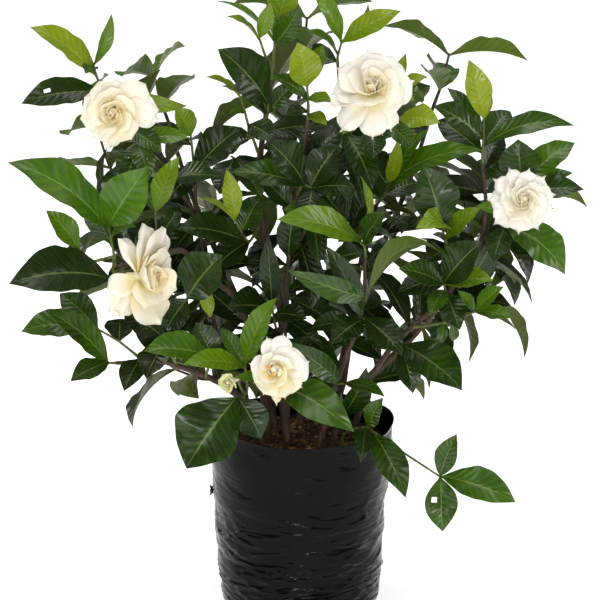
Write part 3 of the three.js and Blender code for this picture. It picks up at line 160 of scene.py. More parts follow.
# Leafy sprays: twigs with a route and leaves. A leaf is [tip across, tip down, tip back, width, roll,
# place along the twig, tone from old and dark to young, arch of its midrib].
SPRAYS = {
    "spray_top_left": {"on": "stem_left", "twigs": [
        {"route": [[111, 106, -30], [104, 90, -32], [98, 71, -35]], "leaves": [
            [39, 34, -50, 28, 10, 0.75, 0.9], [70, 51, -12, 14, 120, 0.7, 0.5],
            [117, 22, -35, 13, 55, 1, 0.6], [87, 99, -60, 15, 0, 0.95, 0.3],
            [28, 107, -48, 30, 0, 0.3, 0.2], [189, 110, -30, 16, 45, 0.35, 0.8, 0.2],
        ]},
    ]},
    "spray_upper_left": {"on": "stem_left", "twigs": [
        {"route": [[196, 182, 4], [194, 160, 4], [192, 138, 4]], "leaves": [
            [177, 110, -6, 22, 0, 1, 0.75], [203, 112, -2, 20, 0, 1, 0.7],
            [145, 130, 14, 22, 0, 0.8, 0.2], [245, 131, 16, 34, 0, 0.22, 0.15],
            [168, 206, -28, 26, 0, 0.2, 0.1],
        ]},
    ]},
    "spray_bloom_upper_left": {"on": "stem_left", "twigs": [
        {"route": [[150, 158, -14], [136, 140, -32], [126, 124, -52]],
         "bloom": "bloom_upper_left", "leaves": [
            [165, 155, -52, 20, 0, 0.75, 0.3], [190, 140, -36, 18, 0, 0.4, 0.6],
            [128, 187, -50, 27, 0, 0.3, 0.35], [152, 182, -60, 20, 0, 0.35, 0.4],
        ]},
    ]},
    "spray_left": {"on": "stem_left_rising", "twigs": [
        {"route": [[119, 267, -70], [118, 257, -74], [116, 246, -76], [113, 228, -78]], "leaves": [
            [20, 166, -112, 42, 5, 0.9, 0.5, 0.12], [134, 160, -100, 40, 0, 1, 0.55],
            [136, 225, -104, 14, 0, 0.8, 0.5], [92, 208, -40, 24, 0, 0.6, 0.3],
        ]},
        {"route": [[118, 257, -74], [98, 262, -80], [84, 251, -86]], "leaves": [
            [54, 213, -96, 22, 0, 0.98, 0.55], [72, 274, -72, 13, 0, 0.8, 0.4],
        ]},
        {"route": [[118, 257, -74], [117, 270, -84], [118, 282, -88]], "leaves": [
            [14, 261, -112, 50, 10, 0.95, 0.15, 0.12],
        ]},
    ]},
    "spray_left_inner": {"on": "stem_left_rising", "twigs": [
        {"route": [[170, 255, -57], [159, 240, -52], [158, 214, -46]], "leaves": [
            [181, 160, -56, 21, 0, 1, 0.8], [142, 180, -30, 14, 0, 1, 0.4],
            [176, 203, -30, 17, 0, 0.4, 0.2],
        ]},
    ]},
    "spray_bloom_left": {"on": "stem_left_rising", "twigs": [
        {"route": [[133, 264, -66], [120, 272, -67], [110, 281, -68]],
         "bloom": "bloom_left", "leaves": []},
    ]},
    "spray_left_centre": {"on": "stem_centre", "twigs": [
        {"route": [[262, 222, 12], [249, 243, -14], [236, 221, -32]], "leaves": [
            [228, 172, -42, 17, 0, 1, 0.9], [202, 205, -58, 12, 60, 0.97, 0.85],
            [193, 218, -60, 34, 0, 0.5, 0.2], [262, 196, -18, 24, 0, 0.75, 0.3],
            [214, 262, -44, 26, 0, 0.45, 0.15],
        ]},
    ]},
    "spray_left_low_inner": {"on": "stem_left_rising", "twigs": [
        {"route": [[212, 276, -40], [203, 284, -52], [188, 300, -66]], "leaves": [
            [223, 256, -72, 46, 0, 0.97, 0.25], [212, 317, -60, 12, 0, 0.5, 0.95],
            [168, 330, -70, 30, 0, 0.95, 0.15],
        ]},
    ]},
    "spray_top": {"on": "stem_centre", "twigs": [
        {"route": [[271, 82, 12], [274, 62, 12], [275, 44, 12]], "leaves": [
            [295, -26, 4, 27, 0, 1, 0.8], [300, 13, -12, 22, 60, 0.9, 0.35],
            [220, 4, 16, 15, 40, 1, 0.6],
        ]},
        {"route": [[273, 70, 12], [266, 60, 2], [260, 43, -4]], "leaves": [
            [230, 22, -22, 13, 30, 1, 0.7], [266, 8, -14, 14, 20, 1, 0.75],
        ]},
    ]},
    "spray_top_lower": {"on": "stem_centre", "twigs": [
        {"route": [[265, 126, 15], [268, 116, 6], [269, 106, -2]], "leaves": [
            [221, 54, -20, 42, 0, 0.95, 0.2], [229, 80, 22, 22, 40, 0.4, 0.15],
            [294, 84, -2, 18, 0, 0.5, 0.3],
        ]},
    ]},
    "spray_small_top": {"on": "stem_centre", "twigs": [
        {"route": [[260, 158, 16], [252, 136, 2], [246, 118, -6], [242, 100, -10]], "leaves": [
            [209, 80, -20, 13, 30, 1, 0.85], [232, 114, -20, 7, 0, 0.72, 0.5],
            [275, 142, -26, 24, 0, 0.5, 0.2], [228, 150, 26, 26, 0, 0.3, 0.2],
        ]},
    ]},
    "spray_top_centre": {"on": "stem_centre", "twigs": [
        {"route": [[308, 122, -16], [308, 106, -17], [307, 91, -19]], "leaves": [
            [298, 49, -32, 30, 0, 1, 0.95], [322, 48, -6, 16, 0, 1, 0.7],
            [273, 82, -42, 20, 0, 0.6, 0.4], [331, 106, -36, 14, 0, 0.65, 0.7],
            [286, 119, -46, 13, 0, 0.25, 0.2], [326, 128, -42, 13, 0, 0.15, 0.8],
        ]},
    ]},
    "spray_top_right": {"on": "stem_centre", "twigs": [
        {"route": [[338, 77, 6], [337, 61, 4], [341, 46, 2]], "leaves": [
            [313, -6, -6, 18, 10, 0.97, 0.7], [368, 10, 10, 24, 130, 1, 0.5],
            [402, 19, -10, 21, 10, 0.95, 0.85], [309, 35, -18, 13, 20, 0.6, 0.5],
            [300, 58, 26, 24, 0, 0.35, 0.2],
        ]},
    ]},
    "spray_bloom_top": {"on": "stem_centre", "twigs": [
        {"route": [[345, 130, 4], [350, 124, -16], [357, 114, -36]], "bloom": "bloom_top", "leaves": [
            [342, 138, -54, 14, 0, 0.8, 0.7],
        ]},
        {"route": [[350, 124, -16], [372, 110, -6], [396, 90, -4]], "leaves": [
            [404, 58, -6, 10, 0, 1, 0.9], [422, 76, -10, 12, 0, 0.97, 0.9],
            [412, 104, -26, 12, 0, 0.9, 0.8], [424, 98, 26, 26, 0, 0.75, 0.4],
        ]},
        {"route": [[350, 124, -16], [372, 134, -18], [397, 122, -26]], "leaves": [
            [436, 126, -52, 25, 0, 1, 0.95], [410, 150, -30, 20, 0, 0.8, 0.4],
            [372, 160, -40, 22, 0, 0.5, 0.2],
        ]},
    ]},
    "spray_centre_upper": {"on": "stem_centre", "twigs": [
        {"route": [[297, 196, -18], [303, 186, -30], [312, 190, -40]], "leaves": [
            [268, 144, -50, 34, 0, 0.6, 0.15], [233, 174, -44, 26, 0, 0.7, 0.3],
            [337, 148, -36, 30, 0, 0.9, 0.15], [352, 186, -50, 26, 0, 1, 0.2],
            [306, 232, -66, 24, 0, 1, 0.15],
        ]},
    ]},
    "spray_centre_left": {"on": "stem_centre", "twigs": [
        {"route": [[260, 170, 15], [246, 166, 4], [232, 158, -8]], "leaves": [
            [262, 198, -36, 22, 0, 0.9, 0.2], [208, 150, 14, 28, 0, 1, 0.2],
            [224, 196, -22, 26, 0, 0.9, 0.15], [276, 140, 42, 30, 0, 0.2, 0.2],
        ]},
    ]},
    "spray_right_upper": {"on": "stem_right", "twigs": [
        {"route": [[480, 165, -15], [481, 142, -15], [481, 122, -15]], "leaves": [
            [466, 65, -22, 23, 0, 1, 1], [487, 97, -16, 8, 0, 1, 0.9], [446, 90, 6, 14, 0, 0.7, 0.3],
            [434, 103, -30, 30, 0, 0.5, 0.25], [436, 121, 14, 27, 0, 0.2, 0.15],
            [569, 127, -24, 22, 0, 0.35, 0.35, 0.2], [508, 112, 14, 26, 0, 0.4, 0.3],
        ]},
    ]},
    "spray_inner_right": {"on": "stem_inner", "twigs": [
        {"route": [[377, 204, 34], [384, 196, 22], [388, 184, 14]], "leaves": [
            [487, 158, -22, 27, 0, 0.6, 0.5, 0.16], [426, 131, -10, 15, 0, 1, 0.5],
            [397, 142, -22, 13, 50, 1, 0.9], [360, 150, 30, 30, 0, 0.9, 0.2],
            [420, 182, 50, 30, 0, 0.5, 0.2], [340, 186, 56, 30, 0, 0.3, 0.15],
        ]},
    ]},
    "spray_right_centre": {"on": "stem_right", "twigs": [
        {"route": [[452, 288, -14], [448, 258, -36], [440, 230, -54]], "leaves": [
            [421, 169, -62, 40, 0, 1, 0.25], [397, 227, -92, 24, 0, 0.97, 0.8, 0.22],
            [476, 209, -64, 18, 0, 0.8, 0.7], [470, 236, -10, 30, 0, 0.4, 0.2],
            [424, 262, -84, 26, 0, 0.6, 0.2],
        ]},
    ]},
    "spray_bloom_right": {"on": "stem_right", "twigs": [
        {"route": [[501, 229, -36], [505, 222, -41], [511, 211, -44]],
         "bloom": "bloom_right", "leaves": [
            [561, 274, -66, 36, 0, 0.2, 0.45, 0.2], [474, 207, -54, 14, 0, 0.6, 0.6],
            [490, 262, -70, 22, 0, 0.1, 0.2],
        ]},
        {"route": [[505, 222, -41], [512, 206, -24], [518, 184, -14]], "leaves": [
            [515, 142, -18, 37, 0, 1, 0.3], [567, 137, -8, 27, 0, 0.97, 0.5],
            [580, 190, -26, 24, 0, 0.7, 0.3], [572, 168, 6, 15, 0, 0.8, 0.4],
            [486, 160, -6, 22, 0, 0.8, 0.35], [548, 210, 14, 28, 0, 0.4, 0.2],
        ]},
    ]},
    "spray_thin_top": {"on": "stem_thin", "twigs": [
        {"route": [[364, 257, -60], [364, 251, -66], [362, 245, -72]], "leaves": [
            [280, 221, -138, 33, 0, 1, 0.65], [361, 179, -62, 14, 60, 0.9, 0.8],
            [392, 214, -84, 22, 0, 0.9, 0.3], [330, 262, -50, 24, 0, 0.3, 0.2],
        ]},
    ]},
    "spray_thin_middle": {"on": "stem_thin", "twigs": [
        {"route": [[363, 302, -51], [366, 296, -62]], "leaves": [
            [455, 264, -112, 30, -75, 1, 0.35, 0.3], [289, 272, -116, 21, -50, 0.7, 0.35, 0.16],
        ]},
    ]},
    "spray_centre": {"on": "stem_inner", "twigs": [
        {"route": [[365, 240, 38], [353, 232, 14], [343, 221, -12]], "leaves": [
            [290, 205, -62, 25, 0, 1, 0.45], [343, 179, -22, 13, 50, 1, 0.2],
            [314, 178, 4, 30, 0, 0.8, 0.15], [372, 186, 0, 24, 0, 0.6, 0.15],
        ]},
    ]},
    "spray_thin_low": {"on": "stem_thin", "twigs": [
        {"route": [[358, 322, -46], [364, 318, -60]], "leaves": [
            [333, 250, -86, 22, 0, 0.5, 0.2], [400, 353, -100, 27, 0, 1, 0.15],
            [332, 338, -92, 27, 0, 0.8, 0.15],
        ]},
    ]},
    "spray_thin_foot": {"on": "stem_thin", "twigs": [
        {"route": [[336, 383, -34], [344, 383, -46]], "leaves": [
            [383, 394, -86, 15, 0, 1, 0.4], [290, 342, -92, 21, -40, 0.5, 0.35],
        ]},
    ]},
    "spray_centre_low": {"on": "stem_centre", "twigs": [
        {"route": [[283, 342, 0], [276, 328, -12], [272, 306, -22]], "leaves": [
            [268, 238, -44, 18, 0, 1, 0.1], [229, 306, -50, 34, 0, 0.9, 0.15],
            [306, 318, -46, 22, 0, 0.8, 0.15], [252, 346, -50, 28, 0, 0.4, 0.1],
        ]},
    ]},
    "spray_right_twig": {"on": "stem_right_front", "twigs": [
        {"route": [[412, 327, -43], [445, 322, -66], [473, 311, -84]], "leaves": [
            [455, 291, -92, 11, 0, 0.97, 0.5], [498, 287, -98, 17, 0, 1, 0.5],
            [508, 317, -100, 15, 0, 0.97, 0.5], [432, 314, -50, 8, 0, 0.5, 0.3],
            [440, 343, -72, 9, 0, 0.45, 0.35], [452, 341, -60, 9, 0, 0.6, 0.35],
        ]},
    ]},
    "spray_right_front": {"on": "stem_right_front", "twigs": [
        {"route": [[445, 300, -62], [443, 292, -70], [441, 284, -78]], "leaves": [
            [397, 269, -98, 25, 0, 0.95, 0.3], [488, 280, -100, 22, 0, 1, 0.7],
            [472, 238, -92, 34, 0, 1, 0.2], [427, 314, -112, 17, 0, 0.6, 0.4],
            [466, 318, -104, 24, 0, 0.5, 0.2],
        ]},
    ]},
    "spray_right_low": {"on": "stem_right_front", "twigs": [
        {"route": [[396, 341, -34], [401, 344, -52]], "leaves": [
            [458, 381, -106, 40, 0, 1, 0.25], [412, 392, -70, 22, 0, 0.8, 0.15],
            [372, 346, -80, 22, 0, 0.9, 0.2],
        ]},
    ]},
    "spray_low_centre": {"on": "stem_left", "twigs": [
        {"route": [[243, 398, -45], [245, 394, -58], [250, 382, -70], [246, 364, -88]], "leaves": [
            [276, 298, -112, 24, 0, 1, 0.6], [188, 361, -132, 23, 0, 0.95, 0.7],
            [222, 327, -72, 15, 0, 0.95, 0.4], [226, 392, -76, 24, 0, 0.5, 0.15],
        ]},
        {"route": [[245, 394, -58], [242, 387, -84], [240, 382, -98]],
         "bloom": "bloom_faded", "leaves": []},
        {"route": [[245, 394, -58], [240, 397, -78], [238, 395, -98]], "leaves": [
            [188, 465, -124, 60, 0, 1, 0.25, 0.06], [262, 436, -104, 30, 0, 0.9, 0.15],
        ]},
    ]},
    "spray_bloom_low": {"on": "stem_centre", "twigs": [
        {"route": [[284, 404, 5], [278, 398, -34], [272, 388, -76], [274, 376, -104]],
         "bloom": "bloom_low", "leaves": [
            [352, 427, -142, 36, 0, 0.72, 0.4, 0.16], [322, 352, -90, 26, 0, 0.6, 0.15],
            [240, 372, -122, 12, 0, 0.85, 0.5],
        ]},
    ]},
    "spray_left_low": {"on": "stem_left", "twigs": [
        {"route": [[206, 377, -63], [210, 366, -78], [215, 356, -92]], "leaves": [
            [154, 343, -130, 33, 0, 1, 0.5], [198, 322, -84, 24, 0, 0.9, 0.2],
        ]},
    ]},
    "spray_left_low_inward": {"on": "stem_left", "twigs": [
        {"route": [[178, 363, -74], [171, 350, -82], [168, 338, -86]], "leaves": [
            [126, 312, -70, 30, 0, 1, 0.1], [150, 376, -124, 30, 20, 0.8, 0.1],
            [196, 344, -110, 24, 0, 0.9, 0.2],
        ]},
    ]},
    "spray_left_end": {"on": "stem_left", "twigs": [
        {"route": [[148, 362, -80], [122, 341, -74], [96, 326, -72]], "leaves": [
            [25, 330, -70, 30, 0, 1, 0.4], [62, 296, -50, 26, 0, 0.9, 0.3],
            [122, 318, -50, 26, 0, 0.5, 0.15], [128, 388, -118, 22, 0, 0.1, 0.15],
        ]},
    ]},
    "spray_left_tip": {"on": "stem_left", "twigs": [
        {"route": [[119, 362, -82], [112, 362, -86]], "leaves": [
            [54, 310, -112, 28, 0, 1, 0.35], [78, 374, -122, 21, 0, 1, 0.3],
        ]},
    ]},
    "spray_over_rim": {"on": "soil", "twigs": [
        {"route": [[338, 470, -30], [342, 440, -36], [352, 421, -45], [381, 437, -76], [410, 456, -96],
         [438, 474, -112]], "leaves": [
            [381, 397, -82, 18, 0, 0.52, 0.35], [360, 458, -118, 17, 0, 0.5, 0.2],
            [404, 493, -126, 27, 0, 0.55, 0.3], [453, 432, -120, 20, 0, 1, 0.35],
            [511, 497, -142, 32, 0, 1, 0.45], [440, 527, -138, 28, 0, 1, 0.4],
        ]},
    ]},
}

# Blooms: the outer petals one by one as [clock, length, width, opening at the root, opening at the
# tip, cup], and whorls of [petals, length, width, opening at the root, at the tip, cup, first clock].
BLOOMS = {
    "bloom_upper_left": {
        "throat": [119, 117, -66], "face": [-0.12, -0.95, 0.18], "scale": 1,
        "petals": [
            [8, 39, 36, 70, 90, 0.1], [44, 38, 34, 64, 88, 0.1], [345, 41, 18, 84, 106, 0.15],
            [80, 29, 28, 58, 86, 0.15], [118, 29, 28, 58, 88, 0.15], [156, 29, 28, 60, 92, 0.12],
            [196, 29, 28, 62, 94, 0.12], [232, 30, 28, 64, 96, 0.12], [266, 33, 22, 70, 98, 0.12],
            [306, 29, 30, 64, 94, 0.12],
        ],
        "whorls": [
            [5, 25, 29, 42, 68, 0.25, 24], [4, 20, 25, 24, 46, 0.4, 60], [3, 15, 17, 8, 20, 0.6, 30],
        ],
    },
    "bloom_top": {
        "throat": [370, 97, -50], "face": [0.1, -0.72, 0.66], "scale": 1,
        "petals": [
            [104, 36, 42, 70, 44, 0.2], [56, 36, 42, 70, 46, 0.2], [10, 38, 42, 76, 50, 0.25],
            [150, 38, 40, 74, 54, 0.25], [192, 36, 32, 80, 74, 0.2], [304, 39, 28, 86, 124, 0.1],
            [272, 44, 28, 84, 120, 0.1], [228, 49, 28, 84, 118, 0.3], [206, 46, 18, 74, 98, 0.5],
            [332, 33, 34, 72, 76, 0.15],
        ],
        "whorls": [
            [4, 30, 38, 46, 54, 0.3, 70], [3, 24, 32, 26, 38, 0.45, 10], [3, 18, 20, 8, 18, 0.7, 30],
        ],
    },
    "bloom_left": {
        "throat": [143, 277, -90], "face": [0.78, -0.6, 0.12], "scale": 1,
        "petals": [
            [290, 47, 48, 96, 30, 0.2], [252, 42, 28, 94, 114, 0.1], [234, 44, 26, 104, 138, 0.1],
            [196, 34, 24, 96, 126, 0.15], [130, 46, 26, 74, 88, 0.6], [100, 50, 42, 62, 76, 0.35],
            [72, 48, 44, 60, 68, 0.3], [30, 32, 34, 56, 62, 0.3], [334, 34, 38, 70, 44, 0.3],
        ],
        "whorls": [
            [4, 35, 36, 40, 46, 0.35, 60], [3, 27, 30, 22, 30, 0.5, 10], [3, 19, 20, 6, 14, 0.8, 30],
        ],
    },
    "bloom_right": {
        "throat": [518, 202, -62], "face": [0.05, -0.93, 0.3], "scale": 1,
        "petals": [
            [14, 30, 25, 66, 92, 0.1], [48, 30, 22, 56, 80, 0.1], [80, 32, 20, 52, 74, 0.1],
            [112, 32, 20, 52, 76, 0.1], [146, 32, 22, 58, 86, 0.1], [184, 33, 27, 70, 98, 0.15],
            [220, 33, 28, 74, 102, 0.15], [258, 30, 28, 76, 102, 0.15], [296, 31, 28, 74, 100, 0.15],
            [334, 31, 27, 70, 96, 0.1],
        ],
        "whorls": [
            [7, 25, 23, 50, 70, 0.25, 32], [5, 20, 21, 30, 50, 0.4, 6], [4, 15, 16, 10, 22, 0.6, 30],
        ],
    },
    "bloom_low": {
        "throat": [277, 368, -118], "face": [-0.16, -0.92, 0.3], "scale": 1,
        "petals": [
            [80, 34, 22, 54, 70, 0.25], [108, 33, 18, 54, 70, 0.3], [8, 28, 36, 74, 58, 0.2],
            [322, 28, 30, 84, 84, 0.15], [286, 25, 30, 90, 88, 0.15], [246, 24, 27, 88, 92, 0.15],
            [262, 33, 12, 98, 112, 0.3], [166, 24, 24, 58, 66, 0.3], [206, 23, 24, 74, 86, 0.2],
            [44, 27, 28, 58, 66, 0.2],
        ],
        "whorls": [
            [4, 20, 23, 36, 50, 0.4, 40], [3, 14, 16, 12, 24, 0.6, 0],
        ],
    },
    "bloom_faded": {
        "throat": [234, 379, -118], "face": [-0.45, -0.85, 0.05], "scale": 0.625,
        "petals": [],
        "whorls": [
            [4, 15, 14, 18, 36, 0.3, 20], [2, 11, 11, 6, 16, 0.5, 50],
        ],
    },
}

# Leafy branches at the back, as [x, y, z] routes
BACK_BRANCHES = {
    "branch_back_left": [[-22, 40, 140], [-38, 58, 235], [-76, 92, 320], [-112, 114, 400],
        [-134, 126, 470]],
    "branch_back_middle": [[2, 48, 140], [-2, 62, 245], [-10, 82, 350], [-6, 92, 450], [2, 92, 530]],
    "branch_back_right": [[28, 50, 140], [44, 66, 240], [78, 100, 330], [112, 120, 410],
        [134, 130, 480]],
    "branch_side_left": [[-42, 24, 140], [-54, 34, 200], [-104, 62, 262], [-156, 80, 340],
        [-182, 84, 410]],
    "branch_side_right": [[52, 24, 140], [62, 34, 200], [112, 60, 258], [168, 76, 320],
        [206, 78, 370]],
}

# Small turns that a leaf may have taken: sideways, upwards, and the share of its length it keeps
LEAF_TURNS = [
    [0, 0, 1], [0, 7, 1], [0, -7, 1], [7, 0, 1], [-7, 0, 1], [7, 7, 1], [-7, 7, 1], [7, -7, 1],
    [-7, -7, 1], [0, 15, 1], [0, -15, 1], [15, 0, 1], [-15, 0, 1], [14, 14, 1], [-14, 14, 1],
    [14, -14, 1], [-14, -14, 1], [0, 24, 0.95], [0, -24, 0.95], [24, 0, 0.95], [-24, 0, 0.95],
    [0, 0, 0.7], [10, 20, 0.8], [-10, 20, 0.8], [30, 10, 0.85], [-30, 10, 0.85], [0, 38, 0.85],
    [0, -38, 0.8], [0, 12, 0.55], [40, 0, 0.7], [-40, 0, 0.7],
]

CALYX_PROFILE = [(-18, 1.5), (-12, 2.6), (-4, 4.4), (0, 4.9)]
CORE_PROFILE = [(-16, 3.6), (0, 5.2), (13, 2.4)]


# The plant's geometry, as the CAD part lays it out

def vector(values):
    return np.array(values, float)


def unit(v):
    return v / np.linalg.norm(v)


def perpendicular(reference, direction):
    return unit(reference - direction * np.dot(reference, direction))


def turned(v, axis, angle):
    """v turned about a unit axis by an angle in radians."""
    across = np.cross(axis, v)
    return v * math.cos(angle) + across * math.sin(angle) + axis * np.dot(axis, v) * (1 - math.cos(angle))


def place(point):
    across, down, back = point
    height = (VIEW_FOOT - down - back * math.sin(VIEW_TILT)) / math.cos(VIEW_TILT)
    return vector([across - VIEW_AXIS, back, height])


def make_random(seed):
    """Repeatable random numbers from 0 to 1."""
    state = [seed]

    def draw():
        state[0] = (state[0] * 16807) % 2147483647
        return state[0] / 2147483647

    return draw


def along(points, share):
    """A place on the smooth curve through the points of a route, from 0 to 1."""
    spans = len(points) - 1
    index = min(int(share * spans), spans - 1)
    t = share * spans - index
    p1, p2 = points[index], points[index + 1]
    p0 = points[index - 1] if index > 0 else 2 * p1 - p2
    p3 = points[index + 2] if index + 2 <= spans else 2 * p2 - p1
    return (p0 * (-0.5 * t + t * t - 0.5 * t**3) + p1 * (1 - 2.5 * t * t + 1.5 * t**3)
            + p2 * (0.5 * t + 2 * t * t - 1.5 * t**3) + p3 * (-0.5 * t * t + 0.5 * t**3))


def stem_line(points):
    """The straight pieces of a stem, as points on its smooth route."""
    span = sum(np.linalg.norm(b - a) for a, b in zip(points, points[1:]))
    steps = max(2, math.floor(span / STEM_STEP + 0.5))
    return [along(points, i / steps) for i in range(steps + 1)]


def on_stem(line, share):
    index = min(int(share * (len(line) - 1)), len(line) - 2)
    t = share * (len(line) - 1) - index
    return line[index] * (1 - t) + line[index + 1] * t


def way_on_stem(line, share):
    index = min(int(share * (len(line) - 1)), len(line) - 2)
    return unit(line[index + 1] - line[index])


def leaf_root(line, share, tip):
    root = on_stem(line, share)
    return root - unit(tip - root) * ROOT_DEPTH


def leaf_frame(root, tip, width, roll, outward, arch, seed):
    """The frame of a leaf: its root, the way it points, its upper side and its measures."""
    direction = unit(tip - root)
    upper = perpendicular(outward * 0.65 + UP * 0.76, direction)
    upper = turned(upper, direction, math.radians(roll))
    draw = make_random(seed)
    return {
        "root": root, "direction": direction, "upper": upper, "width": width, "arch": arch,
        "length": float(np.linalg.norm(tip - root)),
        "fold": math.radians(14 + 16 * draw()), "wave": 0.05 + 0.09 * draw(),
        "phase": 2 * math.pi * draw(), "twist": math.radians(-14 + 28 * draw()),
    }


def turned_leaf(leaf, turn):
    sideways, upwards, keep = turn
    side = np.cross(leaf["upper"], leaf["direction"])
    direction = turned(leaf["direction"], leaf["upper"], math.radians(sideways))
    direction = turned(direction, side, math.radians(upwards))
    upper = perpendicular(leaf["upper"], direction)
    return {**leaf, "direction": direction, "upper": upper, "length": leaf["length"] * keep,
            "width": leaf["width"] * math.sqrt(keep)}


def leaf_half_width(leaf, t):
    outline = np.clip(t, 0, 1) ** 1.2 * np.clip(1 - t, 0, 1) ** 1.05 / 0.2114
    return np.maximum(leaf["width"] / 2 * outline, STALK_HALF_WIDTH * (1 - t) ** 2)


def leaf_axes(leaf, t):
    """The blade's sideways and upper directions at each share of its length."""
    side = np.cross(leaf["upper"], leaf["direction"])
    over = np.cross(leaf["direction"], side)
    angle = leaf["twist"] * (t - 0.3)
    sides = np.outer(np.cos(angle), side) + np.outer(np.sin(angle), over)
    return sides, np.cross(leaf["direction"], sides)


def blade_points(leaf, t, q):
    """Points of the CAD blade's upper face: t runs along it, q across it from -1 to 1."""
    sides, uppers = leaf_axes(leaf, t)
    half = leaf_half_width(leaf, t)
    bow = 4 * leaf["arch"] * leaf["length"] * t * (1 - t)
    wave = leaf["wave"] * half * np.abs(q) * np.sin(13 * t + leaf["phase"] + np.where(q > 0, 2.2, 0))
    lift = bow + half * np.abs(q) * math.sin(leaf["fold"]) + wave
    return (leaf["root"] + np.outer(t * leaf["length"], leaf["direction"])
            + sides * (half * q * math.cos(leaf["fold"]))[:, None] + uppers * lift[:, None])


def search_tree(points):
    tree = KDTree(len(points))
    for i, point in enumerate(points):
        tree.insert(point, i)
    tree.balance()
    return tree


def packed_corners(node):
    """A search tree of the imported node's corners, in millimetres."""
    return search_tree([corner.co / MM for corner in frame["nodes"][node].data.vertices])


def packed_leaf(leaf, tree):
    """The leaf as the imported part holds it, after the small turn it took, or None if it was left out."""
    best, best_hits = None, 0
    for turn in LEAF_TURNS:
        candidate = turned_leaf(leaf, turn)
        own = [0.14, 0.36, 0.62, 0.85] if candidate["length"] > LARGE_LEAF else [0.17, 0.47, 0.79]
        t = np.array([1.0] + [s for s in own for _ in range(2)])
        q = np.array([0.0] + [-1.0, 1.0] * len(own))
        hits = sum(tree.find(Vector(p))[2] < 0.05 for p in blade_points(candidate, t, q))
        if hits > best_hits:
            best, best_hits = candidate, hits
    return best if best_hits >= 3 else None


# Modelling

def deselect():
    if bpy.context.mode != "OBJECT":
        bpy.ops.object.mode_set(mode="OBJECT")
    bpy.ops.object.select_all(action="DESELECT")


def choose(piece):
    deselect()
    piece.select_set(True)
    bpy.context.view_layer.objects.active = piece


def coordinates(piece):
    """The piece's vertices as an array, in its own units."""
    values = np.zeros(len(piece.data.vertices) * 3)
    piece.data.vertices.foreach_get("co", values)
    return values.reshape(-1, 3)


def set_coordinates(piece, points):
    piece.data.vertices.foreach_set("co", np.asarray(points, float).ravel())
    piece.data.update()


def set_attribute(piece, name, values):
    """A number for every vertex, which a material can read."""
    layer = piece.data.attributes.get(name) or piece.data.attributes.new(name, "FLOAT", "POINT")
    layer.data.foreach_set("value", np.broadcast_to(values, len(piece.data.vertices)).astype(np.float32))


def apply_modifier(piece, kind, **settings):
    choose(piece)
    modifier = piece.modifiers.new(kind.title(), kind)
    for key, value in settings.items():
        setattr(modifier, key, value)
    bpy.ops.object.modifier_apply(modifier=modifier.name)


def sheet_pattern(name, cells_along, cells_across):
    """A thin closed sheet, 1 long and 2 wide, that every leaf or petal is copied from and shaped."""
    deselect()
    bpy.ops.mesh.primitive_grid_add(x_subdivisions=cells_along, y_subdivisions=cells_across, size=2)
    pattern = bpy.context.object
    pattern.name = name
    bpy.ops.object.mode_set(mode="EDIT")
    bpy.ops.mesh.select_all(action="SELECT")
    bpy.ops.transform.resize(value=(0.5, 1, 1), center_override=(0, 0, 0))
    bpy.ops.transform.translate(value=(0.5, 0, 0))
    bpy.ops.object.mode_set(mode="OBJECT")
    apply_modifier(pattern, "SOLIDIFY", thickness=0.1, offset=-1)
    points = coordinates(pattern)
    points[:, 1] = np.sign(points[:, 1]) * np.abs(points[:, 1]) ** 1.2
    set_coordinates(pattern, points)
    set_attribute(pattern, "under", (points[:, 2] < -0.05).astype(float))
    loops = np.zeros(len(pattern.data.loops), int)
    pattern.data.loops.foreach_get("vertex_index", loops)
    for layer in list(pattern.data.uv_layers):
        pattern.data.uv_layers.remove(layer)
    layer = pattern.data.uv_layers.new(name="blade")
    flat = np.stack([points[loops, 0], points[loops, 1] / 2 + 0.5], axis=1)
    layer.data.foreach_set("uv", flat.ravel())
    bpy.context.scene.collection.objects.unlink(pattern)
    return pattern


def sheet_copy(pattern, shape):
    """A copy of a pattern with its own mesh, shaped by a function of along, across and under."""
    piece = pattern.copy()
    piece.data = pattern.data.copy()
    bpy.context.scene.collection.objects.link(piece)
    flat = coordinates(pattern)
    set_coordinates(piece, shape(flat[:, 0], flat[:, 1], flat[:, 2] < -0.05) * MM)
    return piece


def joined(name, parts, weld=0.00002):
    """Several parts, whose faces point outwards, as one piece with its doubled corners merged."""
    deselect()
    for part in parts:
        part.select_set(True)
    bpy.context.view_layer.objects.active = parts[0]
    if len(parts) > 1:
        bpy.ops.object.join()
    piece = bpy.context.view_layer.objects.active
    piece.name = name
    piece.data.name = name
    bpy.ops.object.mode_set(mode="EDIT")
    bpy.ops.mesh.select_all(action="SELECT")
    bpy.ops.mesh.remove_doubles(threshold=weld)
    bpy.ops.object.mode_set(mode="OBJECT")
    bpy.ops.object.shade_smooth_by_angle(angle=math.radians(50))
    return piece


def tube(points, radii, sides=8):
    """A round closed rod along points, in millimetres, with a radius at each."""
    deselect()
    curve = bpy.data.curves.new("rod", "CURVE")
    curve.dimensions = "3D"
    curve.bevel_depth = MM
    curve.bevel_resolution = max(0, sides // 2 - 2)
    curve.use_fill_caps = True
    spline = curve.splines.new("POLY")
    spline.points.add(len(points) - 1)
    for point, place_on, radius in zip(spline.points, points, radii):
        point.co = (*(Vector(place_on) * MM), 1)
        point.radius = radius
    rod = bpy.data.objects.new("rod", curve)
    bpy.context.scene.collection.objects.link(rod)
    choose(rod)
    bpy.ops.object.convert(target="MESH")
    bpy.ops.object.mode_set(mode="EDIT")
    bpy.ops.mesh.select_all(action="SELECT")
    bpy.ops.mesh.remove_doubles(threshold=0.000001)
    bpy.ops.mesh.normals_make_consistent(inside=False)
    bpy.ops.object.mode_set(mode="OBJECT")
    return bpy.context.object


